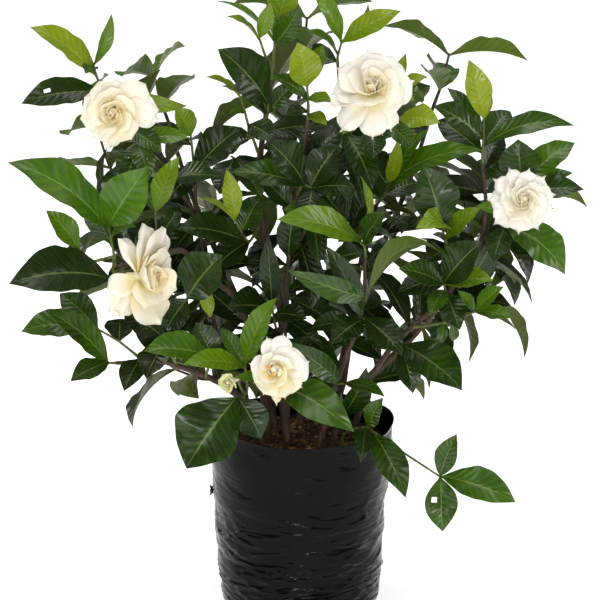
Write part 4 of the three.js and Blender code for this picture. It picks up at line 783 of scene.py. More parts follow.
def finish_piece(piece, material, replaced=None):
    piece.data.materials.clear()
    piece.data.materials.append(material)
    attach(piece, "root")
    if replaced:
        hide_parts(replaced)


# Wood

def rod_along(line, foot_radius, end_radius, sides, knots=0.16):
    """A rod on a stem's straight pieces, its corners softened, with a low swelling at each leaf scar."""
    points, radii = [], []
    steps = max(4, 5 * (len(line) - 1))
    walked = 0.0
    for i in range(steps + 1):
        share = i / steps
        point = 0.6 * on_stem(line, share) + 0.4 * along(line, share)
        if points:
            walked += float(np.linalg.norm(point - points[-1]))
        swelling = math.exp(-(((walked % 24) - 12) / 2.6) ** 2)
        points.append(point)
        radii.append((foot_radius + (end_radius - foot_radius) * share) * (1 + knots * swelling))
    return tube(points, radii, sides)


def make_stems(bark):
    for name, limbs in STEMS.items():
        rods = []
        for limb in limbs:
            line = stem_line([place(p) for p in limb["route"]])
            foot, end = limb["radii"]
            rods.append(rod_along(line, foot, end, 10))
        finish_piece(joined(name + "_bark", rods, weld=0.000001), bark, name)


# Leaves

def shape_leaf(leaf):
    """The fine form of a blade: the CAD blade's, with a rounded fold, a rippled margin, a hollow
    along the midrib above and a rib below."""
    def shape(t, q, under):
        sides, uppers = leaf_axes(leaf, t)
        half = leaf_half_width(leaf, t)
        stalk = np.clip((0.12 - t) / 0.12, 0, 1)
        half = np.maximum(half * (1 - 0.25 * stalk), TIP_HALF_WIDTH)
        across = np.abs(q)
        bow = 4 * leaf["arch"] * leaf["length"] * t * (1 - t)
        wave = leaf["wave"] * half * across * np.sin(13 * t + leaf["phase"] + np.where(q > 0, 2.2, 0))
        ripple = 0.035 * half * across**3 * np.sin(31 * t + 2 * leaf["phase"] + np.where(q > 0, 1.1, 0))
        droop = -0.025 * leaf["length"] * np.clip((t - 0.75) / 0.25, 0, 1) ** 2
        fold = half * across**1.35 * math.sin(leaf["fold"])
        lift = bow + fold + wave + ripple + droop
        blade = 0.5 * (1 - 0.4 * across)
        rows = VEIN_PAIRS * t - VEIN_REACH * across**0.85 + np.where(q > 0, VEIN_STAGGER, 0)
        inside = (1 - np.exp(-((q / 0.16) ** 2))) * (1 - across**3) * np.clip(t / 0.12, 0, 1)
        swelling = leaf["quilt"] * (np.sin(np.pi * (rows % 1)) - 0.6)
        lift = lift + swelling * inside * np.clip(half / 12, 0.3, 1)
        rib = (1.5 * (1 - t) + 0.25) * np.exp(-((q / 0.1) ** 2))
        sunk = 0.35 * np.exp(-((q / 0.09) ** 2)) * (1 - t)
        lift = np.where(under, lift - blade - rib, lift - sunk)
        return (leaf["root"] + np.outer(t * leaf["length"], leaf["direction"])
                + sides * (half * q * math.cos(leaf["fold"]))[:, None] + uppers * lift[:, None])
    return shape


# Insect holes: the leaf whose tip is listed across and down in SPRAYS, and the places along it from
# 0 to 1 and across it from -1 to 1 that are eaten
LEAF_HOLES = {
    (28, 107): [(0.65, -0.3), (0.68, -0.3), (0.71, -0.3)],
    (221, 54): [(0.55, 0.35), (0.58, 0.35)],
    (440, 527): [(0.44, -0.4), (0.48, -0.4)],
    (152, 182): [(0.55, 0.3)],
    (128, 187): [(0.45, -0.3)],
}


def leaf_kind(leaf):
    return "large" if leaf["length"] > 62 else "small"


def grow_leaf(leaf, tone, patterns, kind=None):
    kind = kind or leaf_kind(leaf)
    leaf["quilt"] = 0.1 + 0.44 * tone
    piece = sheet_copy(patterns[kind], shape_leaf(leaf))
    set_attribute(piece, "tone", tone)
    return piece


def eat_hole(blade, pattern, cells):
    """A small hole that an insect has eaten through a blade, over the cells nearest to some places that
    lie side by side, with the hole's edge closed."""
    choose(blade)
    bpy.ops.object.mode_set(mode="EDIT")
    bpy.ops.mesh.select_mode(type="FACE")
    bpy.ops.mesh.select_all(action="DESELECT")
    bpy.ops.object.mode_set(mode="OBJECT")
    for under in (False, True):
        faces = [face for face in pattern.data.polygons if (face.center[2] < -0.05) == under]
        for along_blade, across_blade in cells:
            gaps = [math.hypot(face.center[0] - along_blade, (face.center[1] - across_blade) / 3)
                    for face in faces]
            blade.data.polygons[faces[gaps.index(min(gaps))].index].select = True
    bpy.ops.object.mode_set(mode="EDIT")
    bpy.ops.mesh.delete(type="FACE")
    bpy.ops.mesh.select_mode(type="EDGE")
    bpy.ops.mesh.select_non_manifold(extend=False, use_wire=False, use_multi_face=False,
                                     use_non_contiguous=False, use_verts=False)
    bpy.ops.mesh.bridge_edge_loops()
    bpy.ops.object.mode_set(mode="OBJECT")


def calyx(bloom):
    """The green tube under a bloom, its six pointed lobes, and the way from the twig into it."""
    axis = unit(vector(bloom["face"]))
    scale = bloom["scale"]
    seat = place(bloom["throat"]) + axis * (CORE_PROFILE[0][0] * scale - SEAT_GAP)
    tube_points = [seat + axis * offset * scale for offset, _ in CALYX_PROFILE]
    cup = tube(tube_points, [radius * scale for _, radius in CALYX_PROFILE], 12)
    side = perpendicular(vector([1, 0.01, 0]), axis)
    lobes = []
    for i in range(6):
        radial = turned(side, axis, math.radians(60 * i))
        foot = seat + axis * (-2.5 * scale) + radial * 4.0 * scale
        tip = seat + axis * 1.0 * scale + radial * 6.4 * scale
        lobes.append(tube([foot, 0.5 * (foot + tip) + radial * 0.5, tip],
                          [1.2 * scale, 0.9 * scale, 0.25 * scale], 6))
    return [cup, *lobes], seat + axis * CALYX_PROFILE[1][0] * scale


def front_leaf(values, line, seed, tree):
    """A front leaf from its row of measures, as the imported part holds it."""
    across, down, back, width, roll, share = values[:6]
    arch = values[7] if len(values) > 7 else USUAL_ARCH
    tip = place([across, down, back])
    root = leaf_root(line, share, tip)
    leaf = leaf_frame(root, tip, width * WIDTH_GAIN, roll, FRONT, arch, seed)
    return packed_leaf(leaf, tree)


def make_sprays(patterns, leaf_wax, young_bark):
    for index, (name, spray) in enumerate(SPRAYS.items()):
        tree = packed_corners(name)
        blades, rods = [], []
        for twig_index, twig in enumerate(spray["twigs"]):
            points = [place(p) for p in twig["route"]]
            line = stem_line(points)
            rods.append(rod_along(line, TWIG_RADII[0] * 0.88, TWIG_RADII[1] * 0.88, 8, 0.12))
            if "bloom" in twig:
                green, cup = calyx(BLOOMS[twig["bloom"]])
                stalk = stem_line([points[-1], cup])
                rods.append(rod_along(stalk, STALK_RADII[0], STALK_RADII[1], 8, 0))
                rods.extend(green)
            for leaf_index, values in enumerate(twig["leaves"]):
                seed = LEAF_SEED + SPRAY_STEP * index + TWIG_STEP * twig_index + LEAF_STEP * leaf_index
                leaf = front_leaf(values, line, seed, tree)
                if not leaf:
                    continue
                blade = grow_leaf(leaf, values[6], patterns)
                if tuple(values[:2]) in LEAF_HOLES:
                    eat_hole(blade, patterns[leaf_kind(leaf)], LEAF_HOLES[tuple(values[:2])])
                blades.append(blade)
        if blades:
            finish_piece(joined(name + "_leaves", blades), leaf_wax, name)
        replaced = None if blades else name
        finish_piece(joined(name + "_twig", rods, weld=0.000001), young_bark, replaced)


# Back branches

def back_shoot(line, share, clock, draw):
    """A side shoot's route from its branch, and the way out of the bush."""
    start = on_stem(line, share)
    forward = way_on_stem(line, share)
    out = unit(vector([start[0] * 0.6, start[1], 0]))
    aside = turned(perpendicular(out, forward), forward, math.radians(clock))
    last = share == 1
    heading = unit(forward * (1 if last else 0.45) + aside * (0 if last else 0.8) + out * 0.15)
    length = BACK_SHOOT_LENGTH * (0.8 + 0.5 * draw())
    return [start, start + heading * length * 0.5, start + heading * length + UP * length * 0.2], out


def back_leaves(line, out, share, draw):
    """The leaves of a side shoot, in pairs that stand across each other."""
    leaves = []
    for pair, place_on_twig in enumerate(BACK_PAIR_PLACES):
        base = on_stem(line, place_on_twig)
        pointing = way_on_stem(line, place_on_twig)
        first = perpendicular(out, pointing)
        single = pair == 0 and 0.4 < share < 0.8
        for k in range(1 if single else 2):
            angle = math.radians(180 * k + 90 * pair + 50 * draw())
            reach = BACK_LEAF_LENGTH * (0.75 + 0.45 * draw())
            tip = base + turned(first, pointing, angle) * reach * 0.85
            tip = tip + pointing * reach * (0.25 + 0.3 * draw()) - UP * reach * 0.12
            width = BACK_LEAF_WIDTH * (0.8 + 0.4 * draw())
            seed = math.floor(1 + 1e6 * draw())
            root = leaf_root(line, place_on_twig, tip)
            leaves.append(leaf_frame(root, tip, width, 0, out, USUAL_ARCH, seed))
    return leaves


def make_back_branches(patterns, leaf_wax, bark):
    for index, (name, points) in enumerate(BACK_BRANCHES.items()):
        tree = packed_corners(name)
        line = stem_line([vector(p) for p in points])
        rods = [rod_along(line, BRANCH_RADII[0], BRANCH_RADII[1], 10)]
        blades = []
        for i, share in enumerate(BACK_SHOOT_PLACES):
            draw = make_random(BRANCH_SEED + BRANCH_STEP * index + SHOOT_STEP * i)
            clock = 70 + 137 * i + 30 * draw()
            route, out = back_shoot(line, share, clock, draw)
            shoot = stem_line(route)
            grown = [packed_leaf(leaf, tree) for leaf in back_leaves(shoot, out, share, draw)]
            grown = [leaf for leaf in grown if leaf]
            if not grown:
                continue
            rods.append(rod_along(shoot, TWIG_RADII[0], TWIG_RADII[1], 8, 0.12))
            for k, leaf in enumerate(grown):
                tone = 0.12 + 0.18 * ((i * 3 + k) % 4) / 3 + 0.3 * (share == 1)
                blades.append(grow_leaf(leaf, tone, patterns))
        finish_piece(joined(name + "_leaves", blades), leaf_wax, name)
        finish_piece(joined(name + "_bark", rods, weld=0.000001), bark)


# Old inner leaves

# Parts of the bush that old dark leaves fill: ranges across, down and back, and how many leaves
INNER_FOLIAGE = [
    ((105, 185), (185, 300), (-40, 30), 20),
    ((180, 262), (170, 400), (-50, 40), 36),
    ((258, 345), (100, 390), (-40, 50), 40),
    ((345, 440), (120, 380), (-40, 50), 32),
    ((430, 545), (120, 320), (-40, 40), 24),
    ((130, 480), (200, 420), (20, 90), 30),
]
INNER_CLEARANCE = 3.4
INNER_TRIES = 24


def all_corners(names):
    """The corners of some pieces, in millimetres."""
    return np.concatenate([coordinates(bpy.data.objects[name]) for name in names]) / MM


def leaf_places():
    """Places on the wood where an old leaf may grow, with the stem they belong to."""
    routes = [(name, [place(p) for p in limb["route"]]) for name, limbs in STEMS.items() for limb in limbs]
    routes += [(name, [vector(p) for p in points]) for name, points in BACK_BRANCHES.items()]
    places = []
    for name, points in routes:
        line = stem_line(points)
        count = int(sum(np.linalg.norm(b - a) for a, b in zip(line, line[1:])) / 7)
        places += [(name, on_stem(line, i / count)) for i in range(1, count)]
    return [(name, point) for name, point in places if point[2] > BAG_HEIGHT + 6]


def near_points(leaf):
    """Points over a blade, from a third of its length, that must stay clear of everything else."""
    t = np.repeat([0.3, 0.45, 0.6, 0.75, 0.9, 1.0], 3)
    q = np.tile([-0.9, 0.0, 0.9], 6)
    return blade_points(leaf, t, q)


def inner_leaf(ranges, places, spots, draw):
    """One old leaf that could grow in a part of the bush, after the name of its stem."""
    tip = place([low + (high - low) * draw() for low, high in ranges])
    reach = np.linalg.norm(spots - tip, axis=1)
    near = np.nonzero((reach > 42) & (reach < 78))[0]
    pick, seed = draw(), math.floor(1 + 1e6 * draw())
    if not len(near) or tip[2] < BAG_HEIGHT + 12:
        return None, None
    name, root = places[near[int(pick * len(near))]]
    out = unit(vector([tip[0] * 0.5, min(tip[1], -20) if tip[1] < 40 else tip[1], 0]))
    width = (0.42 + 0.1 * draw()) * float(np.linalg.norm(tip - root))
    return name, leaf_frame(root, tip, width, 40 * (draw() - 0.5), out, USUAL_ARCH, seed)


def clearest(offers, tree, own_points):
    """The offered leaf, with its stem's name, that is furthest from the other pieces and old leaves."""
    best, best_gap = (None, None), INNER_CLEARANCE
    for name, leaf in offers:
        if not leaf:
            continue
        points = near_points(leaf)
        gap = min(tree.find(Vector(point))[2] for point in points)
        if len(own_points):
            gap = min(gap, np.linalg.norm(points[:, None] - own_points[None], axis=2).min())
        if gap > best_gap:
            best, best_gap = (name, leaf), gap
    return best


def make_inner_leaves(patterns, leaf_wax):
    """Old dark leaves on the wood inside the bush, each in the clearest place of those it is offered."""
    endings = ("_leaves", "_petals", "_bark")
    names = [piece.name for piece in bpy.context.scene.objects if piece.name.endswith(endings)]
    tree = search_tree(all_corners(names))
    places = leaf_places()
    spots = np.array([point for _, point in places])
    draw = make_random(INNER_SEED)
    grown, own_points = {}, np.zeros((0, 3))
    for *ranges, count in INNER_FOLIAGE:
        for _ in range(count):
            offers = [inner_leaf(ranges, places, spots, draw) for _ in range(INNER_TRIES)]
            owner, leaf = clearest(offers, tree, own_points)
            if leaf:
                blade = grow_leaf(leaf, 0.02 + 0.22 * draw(), patterns, "inner")
                grown.setdefault(owner, []).append(blade)
                own_points = np.concatenate([own_points, near_points(leaf)])
    for name, blades in grown.items():
        finish_piece(joined(name + "_old_leaves", blades), leaf_wax)


# Blooms

def petal_at(bloom, layer, clock, shape, draw):
    """One petal that stands at a clock angle in a layer of the bloom, with small random changes."""
    length, width, root_angle, tip_angle, cup = shape
    axis = unit(vector(bloom["face"]))
    right = perpendicular(vector([1, 0.01, 0]), axis)
    radial = turned(right, axis, math.radians(clock + 10 * (draw() - 0.5)))
    scale = bloom["scale"]
    return {
        "axis": axis, "throat": place(bloom["throat"]), "radial": radial,
        "tangent": np.cross(axis, radial), "cup": cup,
        "length": length * (0.95 + 0.1 * draw()), "width": width * (0.94 + 0.12 * draw()),
        "open_root": math.radians(root_angle + 8 * (draw() - 0.5)),
        "open_tip": math.radians(tip_angle + 12 * (draw() - 0.5)),
        "roll": math.radians(PETAL_ROLL + 7 * layer),
        "root_radius": (PETAL_ROOT_RADIUS - layer * LAYER_INSET) * scale**2,
        "rise": layer * LAYER_RISE * scale, "layer": layer, "phase": 0.37 * clock + 2.1 * layer,
    }


def bloom_petals(bloom, seed):
    draw = make_random(seed)
    petals = [petal_at(bloom, 0, values[0], values[1:], draw) for values in bloom["petals"]]
    for whorl, (count, length, width, root_angle, tip_angle, cup, first) in enumerate(bloom["whorls"]):
        for i in range(count):
            shape = (length, width, root_angle, tip_angle, cup)
            petals.append(petal_at(bloom, whorl + 1, first + 360 / count * i, shape, draw))
    return petals


def heart_petals(bloom):
    """The small petals wrapped round each other in the middle, in the space of the CAD heart."""
    axis = unit(vector(bloom["face"]))
    right = perpendicular(vector([1, 0.01, 0]), axis)
    scale = bloom["scale"]
    petals = []
    for i in range(HEART_PETALS):
        radial = turned(right, axis, math.radians(137 * i))
        petals.append({
            "axis": axis, "throat": place(bloom["throat"]), "radial": radial,
            "tangent": np.cross(axis, radial), "cup": 0.8, "length": (20 - 0.8 * i) * scale,
            "width": (18 - 1.3 * i) * scale, "open_root": math.radians(30 - 3 * i),
            "open_tip": math.radians(-16 - 3 * i), "roll": math.radians(32),
            "root_radius": (3.9 - 0.38 * i) * scale, "rise": 0, "layer": 3, "phase": 1.7 * i,
        })
    return petals


def shape_petal(petal, ruffle, point):
    """The fine form of a petal: the CAD petal's, with a ruffled margin that rolls back at the end."""
    def shape(s, q, under):
        s = 0.02 + 0.98 * s
        opening = petal["open_root"] + (petal["open_tip"] - petal["open_root"]) * s
        bend = petal["open_tip"] - petal["open_root"]
        arc = petal["length"] / bend
        outwards = petal["root_radius"] + arc * (math.cos(petal["open_root"]) - np.cos(opening))
        forwards = petal["rise"] + arc * (np.sin(opening) - math.sin(petal["open_root"]))
        blunt = np.sqrt(np.clip(1 - (s / (1 - 0.14 * point)) ** 4, 0, 1))
        spike = 0.5 * point * np.clip((1 - s) / 0.35, 0, 1) ** 1.3
        half = petal["width"] / 2 * s**0.55 * np.maximum(blunt, spike) / 0.72
        half = half * (1 + 0.05 * np.sin(7 * s + petal["phase"] + np.where(q > 0, 2, 0)))
        half = np.maximum(half, TIP_HALF_WIDTH)
        radius = np.clip(np.hypot(q * 0.9, s), 0, 1.25)
        phase = petal["phase"]
        wave = ruffle * s * np.abs(q) ** 1.5 * np.sin(3.1 * q + 5.5 * s + phase)
        wave = wave + 0.35 * ruffle * s**2 * np.sin(8 * q + 2 * phase)
        wave = wave + 0.22 * ruffle * s * np.sin(9 * s + 5 * q * math.cos(phase) + 3 * phase)
        rolled = 0.11 + 0.07 * math.sin(5 * phase) if petal["layer"] < 2 else -0.03
        margin = -rolled * petal["length"] * np.clip((radius - 0.7) / 0.4, 0, 1) ** 2
        crease = -0.35 * np.exp(-((q / 0.12) ** 2)) * (1 - s)
        depth = petal["cup"] * half * q**2 + wave + margin + crease
        depth = depth - np.where(under, 0.55 - 0.3 * np.abs(q), 0)
        inner = (np.outer(-np.cos(opening), petal["radial"]) + np.outer(np.sin(opening), petal["axis"]))
        return (petal["throat"] + np.outer(outwards, petal["radial"]) + np.outer(forwards, petal["axis"])
                + np.outer(half * q * math.cos(petal["roll"]), petal["tangent"])
                + inner * (half * q * math.sin(petal["roll"]) + depth)[:, None])
    return shape


# How ruffled and how pointed each bloom's petals are, and how far its cream goes to yellow
BLOOM_LOOKS = {
    "bloom_upper_left": (2.2, 0.4, 0.26),
    "bloom_top": (2.0, 0.6, 0.12),
    "bloom_left": (1.9, 0.45, 0.24),
    "bloom_right": (3.4, 1.0, 0.05),
    "bloom_low": (2.0, 0.7, 0.16),
    "bloom_faded": (1.2, 0.5, 0.9),
}


def make_blooms(patterns, petal_velvet, anther):
    for index, (name, bloom) in enumerate(BLOOMS.items()):
        ruffle, point, cream = BLOOM_LOOKS[name]
        parts = []
        petals = bloom_petals(bloom, BLOOM_SEED + BLOOM_STEP * index)
        for petal in petals + heart_petals(bloom):
            strength = ruffle * petal["length"] / 35
            part = sheet_copy(patterns["petal"], shape_petal(petal, strength, point))
            # Painted shade: petals that point downwards are painted creamier and darker, those of the low
            # bloom most.
            low = max(0.0, -petal["radial"][2]) * (0.35 if name == "bloom_low" else 0.12)
            set_attribute(part, "cream", cream + 0.09 * petal["layer"] + low)
            parts.append(part)
        axis = unit(vector(bloom["face"]))
        scale = bloom["scale"]
        throat = place(bloom["throat"])
        neck = tube([throat + axis * offset * scale for offset in (-16, -8, 0, 8, 13, 16, 18)],
                    [radius * scale for radius in (3.4, 3.8, 4.8, 5.0, 4.2, 2.8, 0.8)], 12)
        set_attribute(neck, "cream", 0.0)
        parts.append(neck)
        finish_piece(joined(name + "_petals", parts), petal_velvet, name)
        if name == "bloom_low":
            make_stamens(bloom, anther)


def make_stamens(bloom, anther):
    """Two orange anthers that curl out of the heart of the low bloom."""
    axis = unit(vector(bloom["face"]))
    throat = place(bloom["throat"])
    right = perpendicular(vector([1, 0.01, 0]), axis)
    rods = []
    for clock, length in ((160, 7), (250, 9)):
        aside = turned(right, axis, math.radians(clock))
        foot = throat + axis * 13 + aside * 1.5
        tip = foot + axis * 4 + aside * length
        rods.append(tube([foot, 0.5 * (foot + tip) + axis * 1.5, tip], [0.8, 1.3, 0.7], 8))
    finish_piece(joined("bloom_low_anthers", rods, weld=0.000001), anther)


# Grow bag and potting mix

def bag_radius(angle, height):
    share = height / BAG_HEIGHT
    taper = BAG_WAIST_RADIUS + (BAG_TOP_RADIUS - BAG_WAIST_RADIUS) * share**1.1
    foot = (BAG_FOOT_RADIUS - BAG_WAIST_RADIUS) * max(0, 1 - height / 22) ** 2
    depth = 0 if share < 0.02 else 1.1 * (1 - 0.6 * share)
    rings = math.sin(height / 6.5 + 2.2 * math.sin(angle * 2 + 0.6))
    folds = 0.6 * math.sin(3 * angle + height / 19)
    return taper + foot + depth * (rings + folds)


def rim_height(angle):
    return BAG_HEIGHT + 2.2 * math.sin(2 * angle + 0.5) + 1.4 * math.sin(5 * angle + 1.2)


def ridges(x, y, z):
    """Sharp-crested folds, from 0 in the valleys to 1 on the crests."""
    return 1 - min(1, abs(noise.noise(Vector((x, y, z)))) * 4)


def film_offset(angle, height):
    """How far the film stands off its smooth shape: creases that run round the bag, finer and deeper
    lower down, and a few slanting pulls near the top."""
    x, y = math.cos(angle), math.sin(angle)
    low = 1 - height / BAG_HEIGHT
    warp = 1.2 * noise.noise(Vector((x * 1.7, y * 1.7, height / 40)))
    level = ridges(x * 1.5, y * 1.5, height / 11 + warp) - 0.4
    fine = ridges(x * 2.6 + 7, y * 2.6, height / 4.6 + 1.6 * warp) - 0.4
    slant = ridges(x * 2.4 + height / 60, y * 2.4 - height / 75, 3.7) - 0.4
    sag = noise.noise(Vector((x * 1.1, y * 1.1, height / 70 + 5)))
    creases = 1.0 * level * (0.3 + low**1.5) + 0.8 * fine * (0.15 + low**1.5)
    return creases + 0.9 * slant * (1 - low) + 1.2 * sag


def extruded_rings(name, sides, radius, heights):
    """An open wall of rings, extruded up from a circle."""
    deselect()
    bpy.ops.mesh.primitive_circle_add(vertices=sides, radius=radius, location=(0, 0, 0))
    wall = bpy.context.object
    wall.name = name
    bpy.ops.object.mode_set(mode="EDIT")
    bpy.ops.mesh.select_all(action="SELECT")
    for low, high in zip(heights, heights[1:]):
        bpy.ops.mesh.extrude_region_move(TRANSFORM_OT_translate={"value": (0, 0, high - low)})
    bpy.ops.object.mode_set(mode="OBJECT")
    return wall


def film_points(wall):
    """The wall's corners moved out to the creased film, with its wavy rim and its lip, in metres."""
    points = []
    for x, y, z in coordinates(wall):
        angle, height = math.atan2(y, x), z / MM
        fade = min(1, height / 12) * (1 if height < 186 else 0.4)
        radius = bag_radius(angle, height) + fade * film_offset(angle, height) - 0.4
        lift = (rim_height(angle) - BAG_HEIGHT) * (height / BAG_HEIGHT) ** 4
        lip = 1.2 * max(0, (height - 184) / 8) ** 2
        points.append((radius + lip) * math.cos(angle) * MM)
        points.append((radius + lip) * math.sin(angle) * MM)
        points.append((height + lift) * MM)
    return points


def close_base(wall):
    """A flat base in the wall's lowest ring, and every face turned outwards."""
    choose(wall)
    bpy.ops.object.mode_set(mode="EDIT")
    bpy.ops.mesh.select_all(action="DESELECT")
    bpy.ops.object.mode_set(mode="OBJECT")
    for vertex in wall.data.vertices:
        vertex.select = vertex.co.z < 0.5 * MM
    bpy.ops.object.mode_set(mode="EDIT")
    bpy.ops.mesh.select_mode(type="VERT")
    bpy.ops.mesh.edge_face_add()
    bpy.ops.mesh.inset(thickness=9 * MM)
    bpy.ops.mesh.inset(thickness=25 * MM)
    bpy.ops.mesh.poke()
    bpy.ops.mesh.select_all(action="SELECT")
    bpy.ops.mesh.normals_make_consistent(inside=False)
    bpy.ops.object.mode_set(mode="OBJECT")


def make_bag(film):
    heights = [0] + [2 + 190 * (i / FILM_RINGS) for i in range(FILM_RINGS + 1)]
    wall = extruded_rings("bag", FILM_SIDES, 80 * MM, [h * MM for h in heights])
    set_coordinates(wall, film_points(wall))
    close_base(wall)
    apply_modifier(wall, "SOLIDIFY", thickness=FILM_THICKNESS * MM, offset=-1)
    choose(wall)
    wall.name = "grow_bag_film"
    bpy.ops.object.shade_smooth_by_angle(angle=math.radians(60))
    finish_piece(wall, film, "grow_bag")


def make_tear(film):
    """A small star-shaped tear at the bag's left edge, its five pointed flaps curled outwards."""
    height = place([210, 492, 0])[2]
    middle = vector([0.8 - bag_radius(math.pi, height), 0, height])
    flaps = []
    for i in range(5):
        angle = math.radians(72 * i + 20)
        spread = vector([0, math.cos(angle), math.sin(angle)])
        reach = 5.2 + 2.4 * math.sin(3 * i)
        points = [middle + vector([1, 0, 0]), middle + spread * reach * 0.5 - vector([1.5, 0, 0]),
                  middle + spread * reach - vector([3.5, 0, 0])]
        flaps.append(tube(points, [2.0, 1.3, 0.2], 6))
    finish_piece(joined("grow_bag_tear", flaps, weld=0.000001), film)


def soil_height(x, y):
    return (SOIL_TOP + 1.8 * math.sin(x / 9 + 1.3 * math.sin(y / 13)) + 1.6 * math.sin(y / 8 + x / 21 + 1)
            + 3 * math.sin(x / 34 + 0.7) - 2)


def soil_surface(x, y):
    """The mix's top with its clods and hollows."""
    clods = noise.noise(Vector((x / 7, y / 7, 0.3))) * 1.6 + noise.noise(Vector((x / 3, y / 3, 4.3))) * 0.9
    return soil_height(x, y) + clods


def make_mix(mix):
    deselect()
    bpy.ops.mesh.primitive_cylinder_add(vertices=96, radius=88 * MM, depth=SOIL_TOP * MM,
                                        location=(0, 0, SOIL_TOP / 2 * MM))
    body = bpy.context.object
    bpy.ops.object.transform_apply(location=True, rotation=False, scale=False)
    bpy.ops.object.mode_set(mode="EDIT")
    bpy.ops.mesh.select_all(action="DESELECT")
    bpy.ops.object.mode_set(mode="OBJECT")
    for face in body.data.polygons:
        face.select = face.normal.z > 0.9
    bpy.ops.object.mode_set(mode="EDIT")
    bpy.ops.mesh.select_mode(type="FACE")
    for _ in range(34):
        bpy.ops.mesh.inset(thickness=2.5 * MM)
    bpy.ops.mesh.poke()
    bpy.ops.object.mode_set(mode="OBJECT")
    points = []
    for x, y, z in coordinates(body) / MM:
        angle = math.atan2(y, x)
        if z > 1:
            inside = bag_radius(angle, SOIL_TOP - 3) - 4.2
            reach = min(1, math.hypot(x, y) / 88)
            x, y = inside * reach * math.cos(angle), inside * reach * math.sin(angle)
            z = soil_surface(x, y)
        else:
            x, y, z = 0.86 * x, 0.86 * y, SOIL_FLOOR
        points.append((x * MM, y * MM, z * MM))
    set_coordinates(body, points)
    finish_piece(joined("potting_mix", [body]), mix, "soil")


def make_chips(bark_chip, draw):
    """Bark chips and clods that lie on the mix."""
    deselect()
    bpy.ops.mesh.primitive_cube_add(size=1)
    pattern = bpy.context.object
    bpy.ops.object.mode_set(mode="EDIT")
    bpy.ops.mesh.bevel(offset=0.16, segments=1)
    bpy.ops.object.mode_set(mode="OBJECT")
    corners = coordinates(pattern)
    chips = []
    for _ in range(CHIP_COUNT):
        reach, angle = MIX_REACH * math.sqrt(draw()), 2 * math.pi * draw()
        x, y = reach * math.cos(angle), reach * math.sin(angle)
        size = np.array([4 + 9 * draw() ** 2, 2.5 + 3 * draw(), 1.2 + 1.6 * draw()])
        turn, lean = 2 * math.pi * draw(), 0.7 * (draw() - 0.5)
        jitter = np.array([[draw() - 0.5 for _ in range(3)] for _ in corners]) * 0.34
        local = (corners + jitter) * size
        local[:, 2] += local[:, 0] * lean
        chip = pattern.copy()
        chip.data = pattern.data.copy()
        bpy.context.scene.collection.objects.link(chip)
        world = np.stack([
            x + local[:, 0] * math.cos(turn) - local[:, 1] * math.sin(turn),
            y + local[:, 0] * math.sin(turn) + local[:, 1] * math.cos(turn),
            soil_surface(x, y) + 0.3 + local[:, 2]], axis=1)
        set_coordinates(chip, world * MM)
        set_attribute(chip, "tone", draw())
        chips.append(chip)
    bpy.data.objects.remove(pattern)
    finish_piece(joined("mix_chips", chips, weld=0.000001), bark_chip)


def make_roots(root_fibre, draw):
    """Thin dry roots that curl out of the mix."""
    roots = []
    for _ in range(ROOT_COUNT):
        reach, angle = 30 + 48 * math.sqrt(draw()), 2 * math.pi * draw()
        x, y, heading = reach * math.cos(angle), reach * math.sin(angle), 2 * math.pi * draw()
        curl, span, rise = 2.6 * (draw() - 0.5), 1.5 + 1.8 * draw(), 1 + 4 * draw()
        route, step = [], span
        for i in range(9):
            hump = math.sin(math.pi * i / 8) * rise
            if step:
                route.append((x, y, soil_surface(x, y) - 0.4 + hump))
            heading += curl * 0.35 + 0.5 * (draw() - 0.5)
            far = math.hypot(x + span * math.cos(heading), y + span * math.sin(heading))
            step = span if far < MIX_REACH else 0
            x, y = x + step * math.cos(heading), y + step * math.sin(heading)
        radius = 0.32 + 0.2 * draw()
        if len(route) > 1:
            roots.append(tube(route, [radius] * len(route), 6))
    finish_piece(joined("mix_roots", roots, weld=0.000001), root_fibre)


# Materials

def linear(colour):
    """An sRGB hex colour as linear red, green, blue and alpha."""
    parts = [int(colour[i:i + 2], 16) / 255 for i in (1, 3, 5)]
    return [c / 12.92 if c <= 0.04045 else ((c + 0.055) / 1.055) ** 2.4 for c in parts] + [1.0]


def add(tree, kind, inputs=None, output=0, stops=(), **settings):
    """Adds a node with its settings, colour stops, values and links, and gives its output socket."""
    node = tree.nodes.new("ShaderNode" + kind)
    for key, value in settings.items():
        setattr(node, key, value)
    for i, (position, colour) in enumerate(stops):
        element = node.color_ramp.elements[i] if i < 2 else node.color_ramp.elements.new(position)
        element.position = position
        element.color = linear(colour)
    for key, value in (inputs or {}).items():
        if isinstance(value, bpy.types.NodeSocket):
            tree.links.new(value, node.inputs[key])
        else:
            node.inputs[key].default_value = value
    return node.outputs[output]


def surface(name, **constants):
    """A new material's node tree and its shader, with the values that are the same all over."""
    material = bpy.data.materials.new(name)
    material.use_nodes = True
    tree = material.node_tree
    shader = tree.nodes["Principled BSDF"]
    for key, value in constants.items():
        shader.inputs[key.replace("_", " ")].default_value = value
    return material, tree, shader


def wire(tree, shader, **sockets):
    for key, socket in sockets.items():
        tree.links.new(socket, shader.inputs[key.replace("_", " ")])


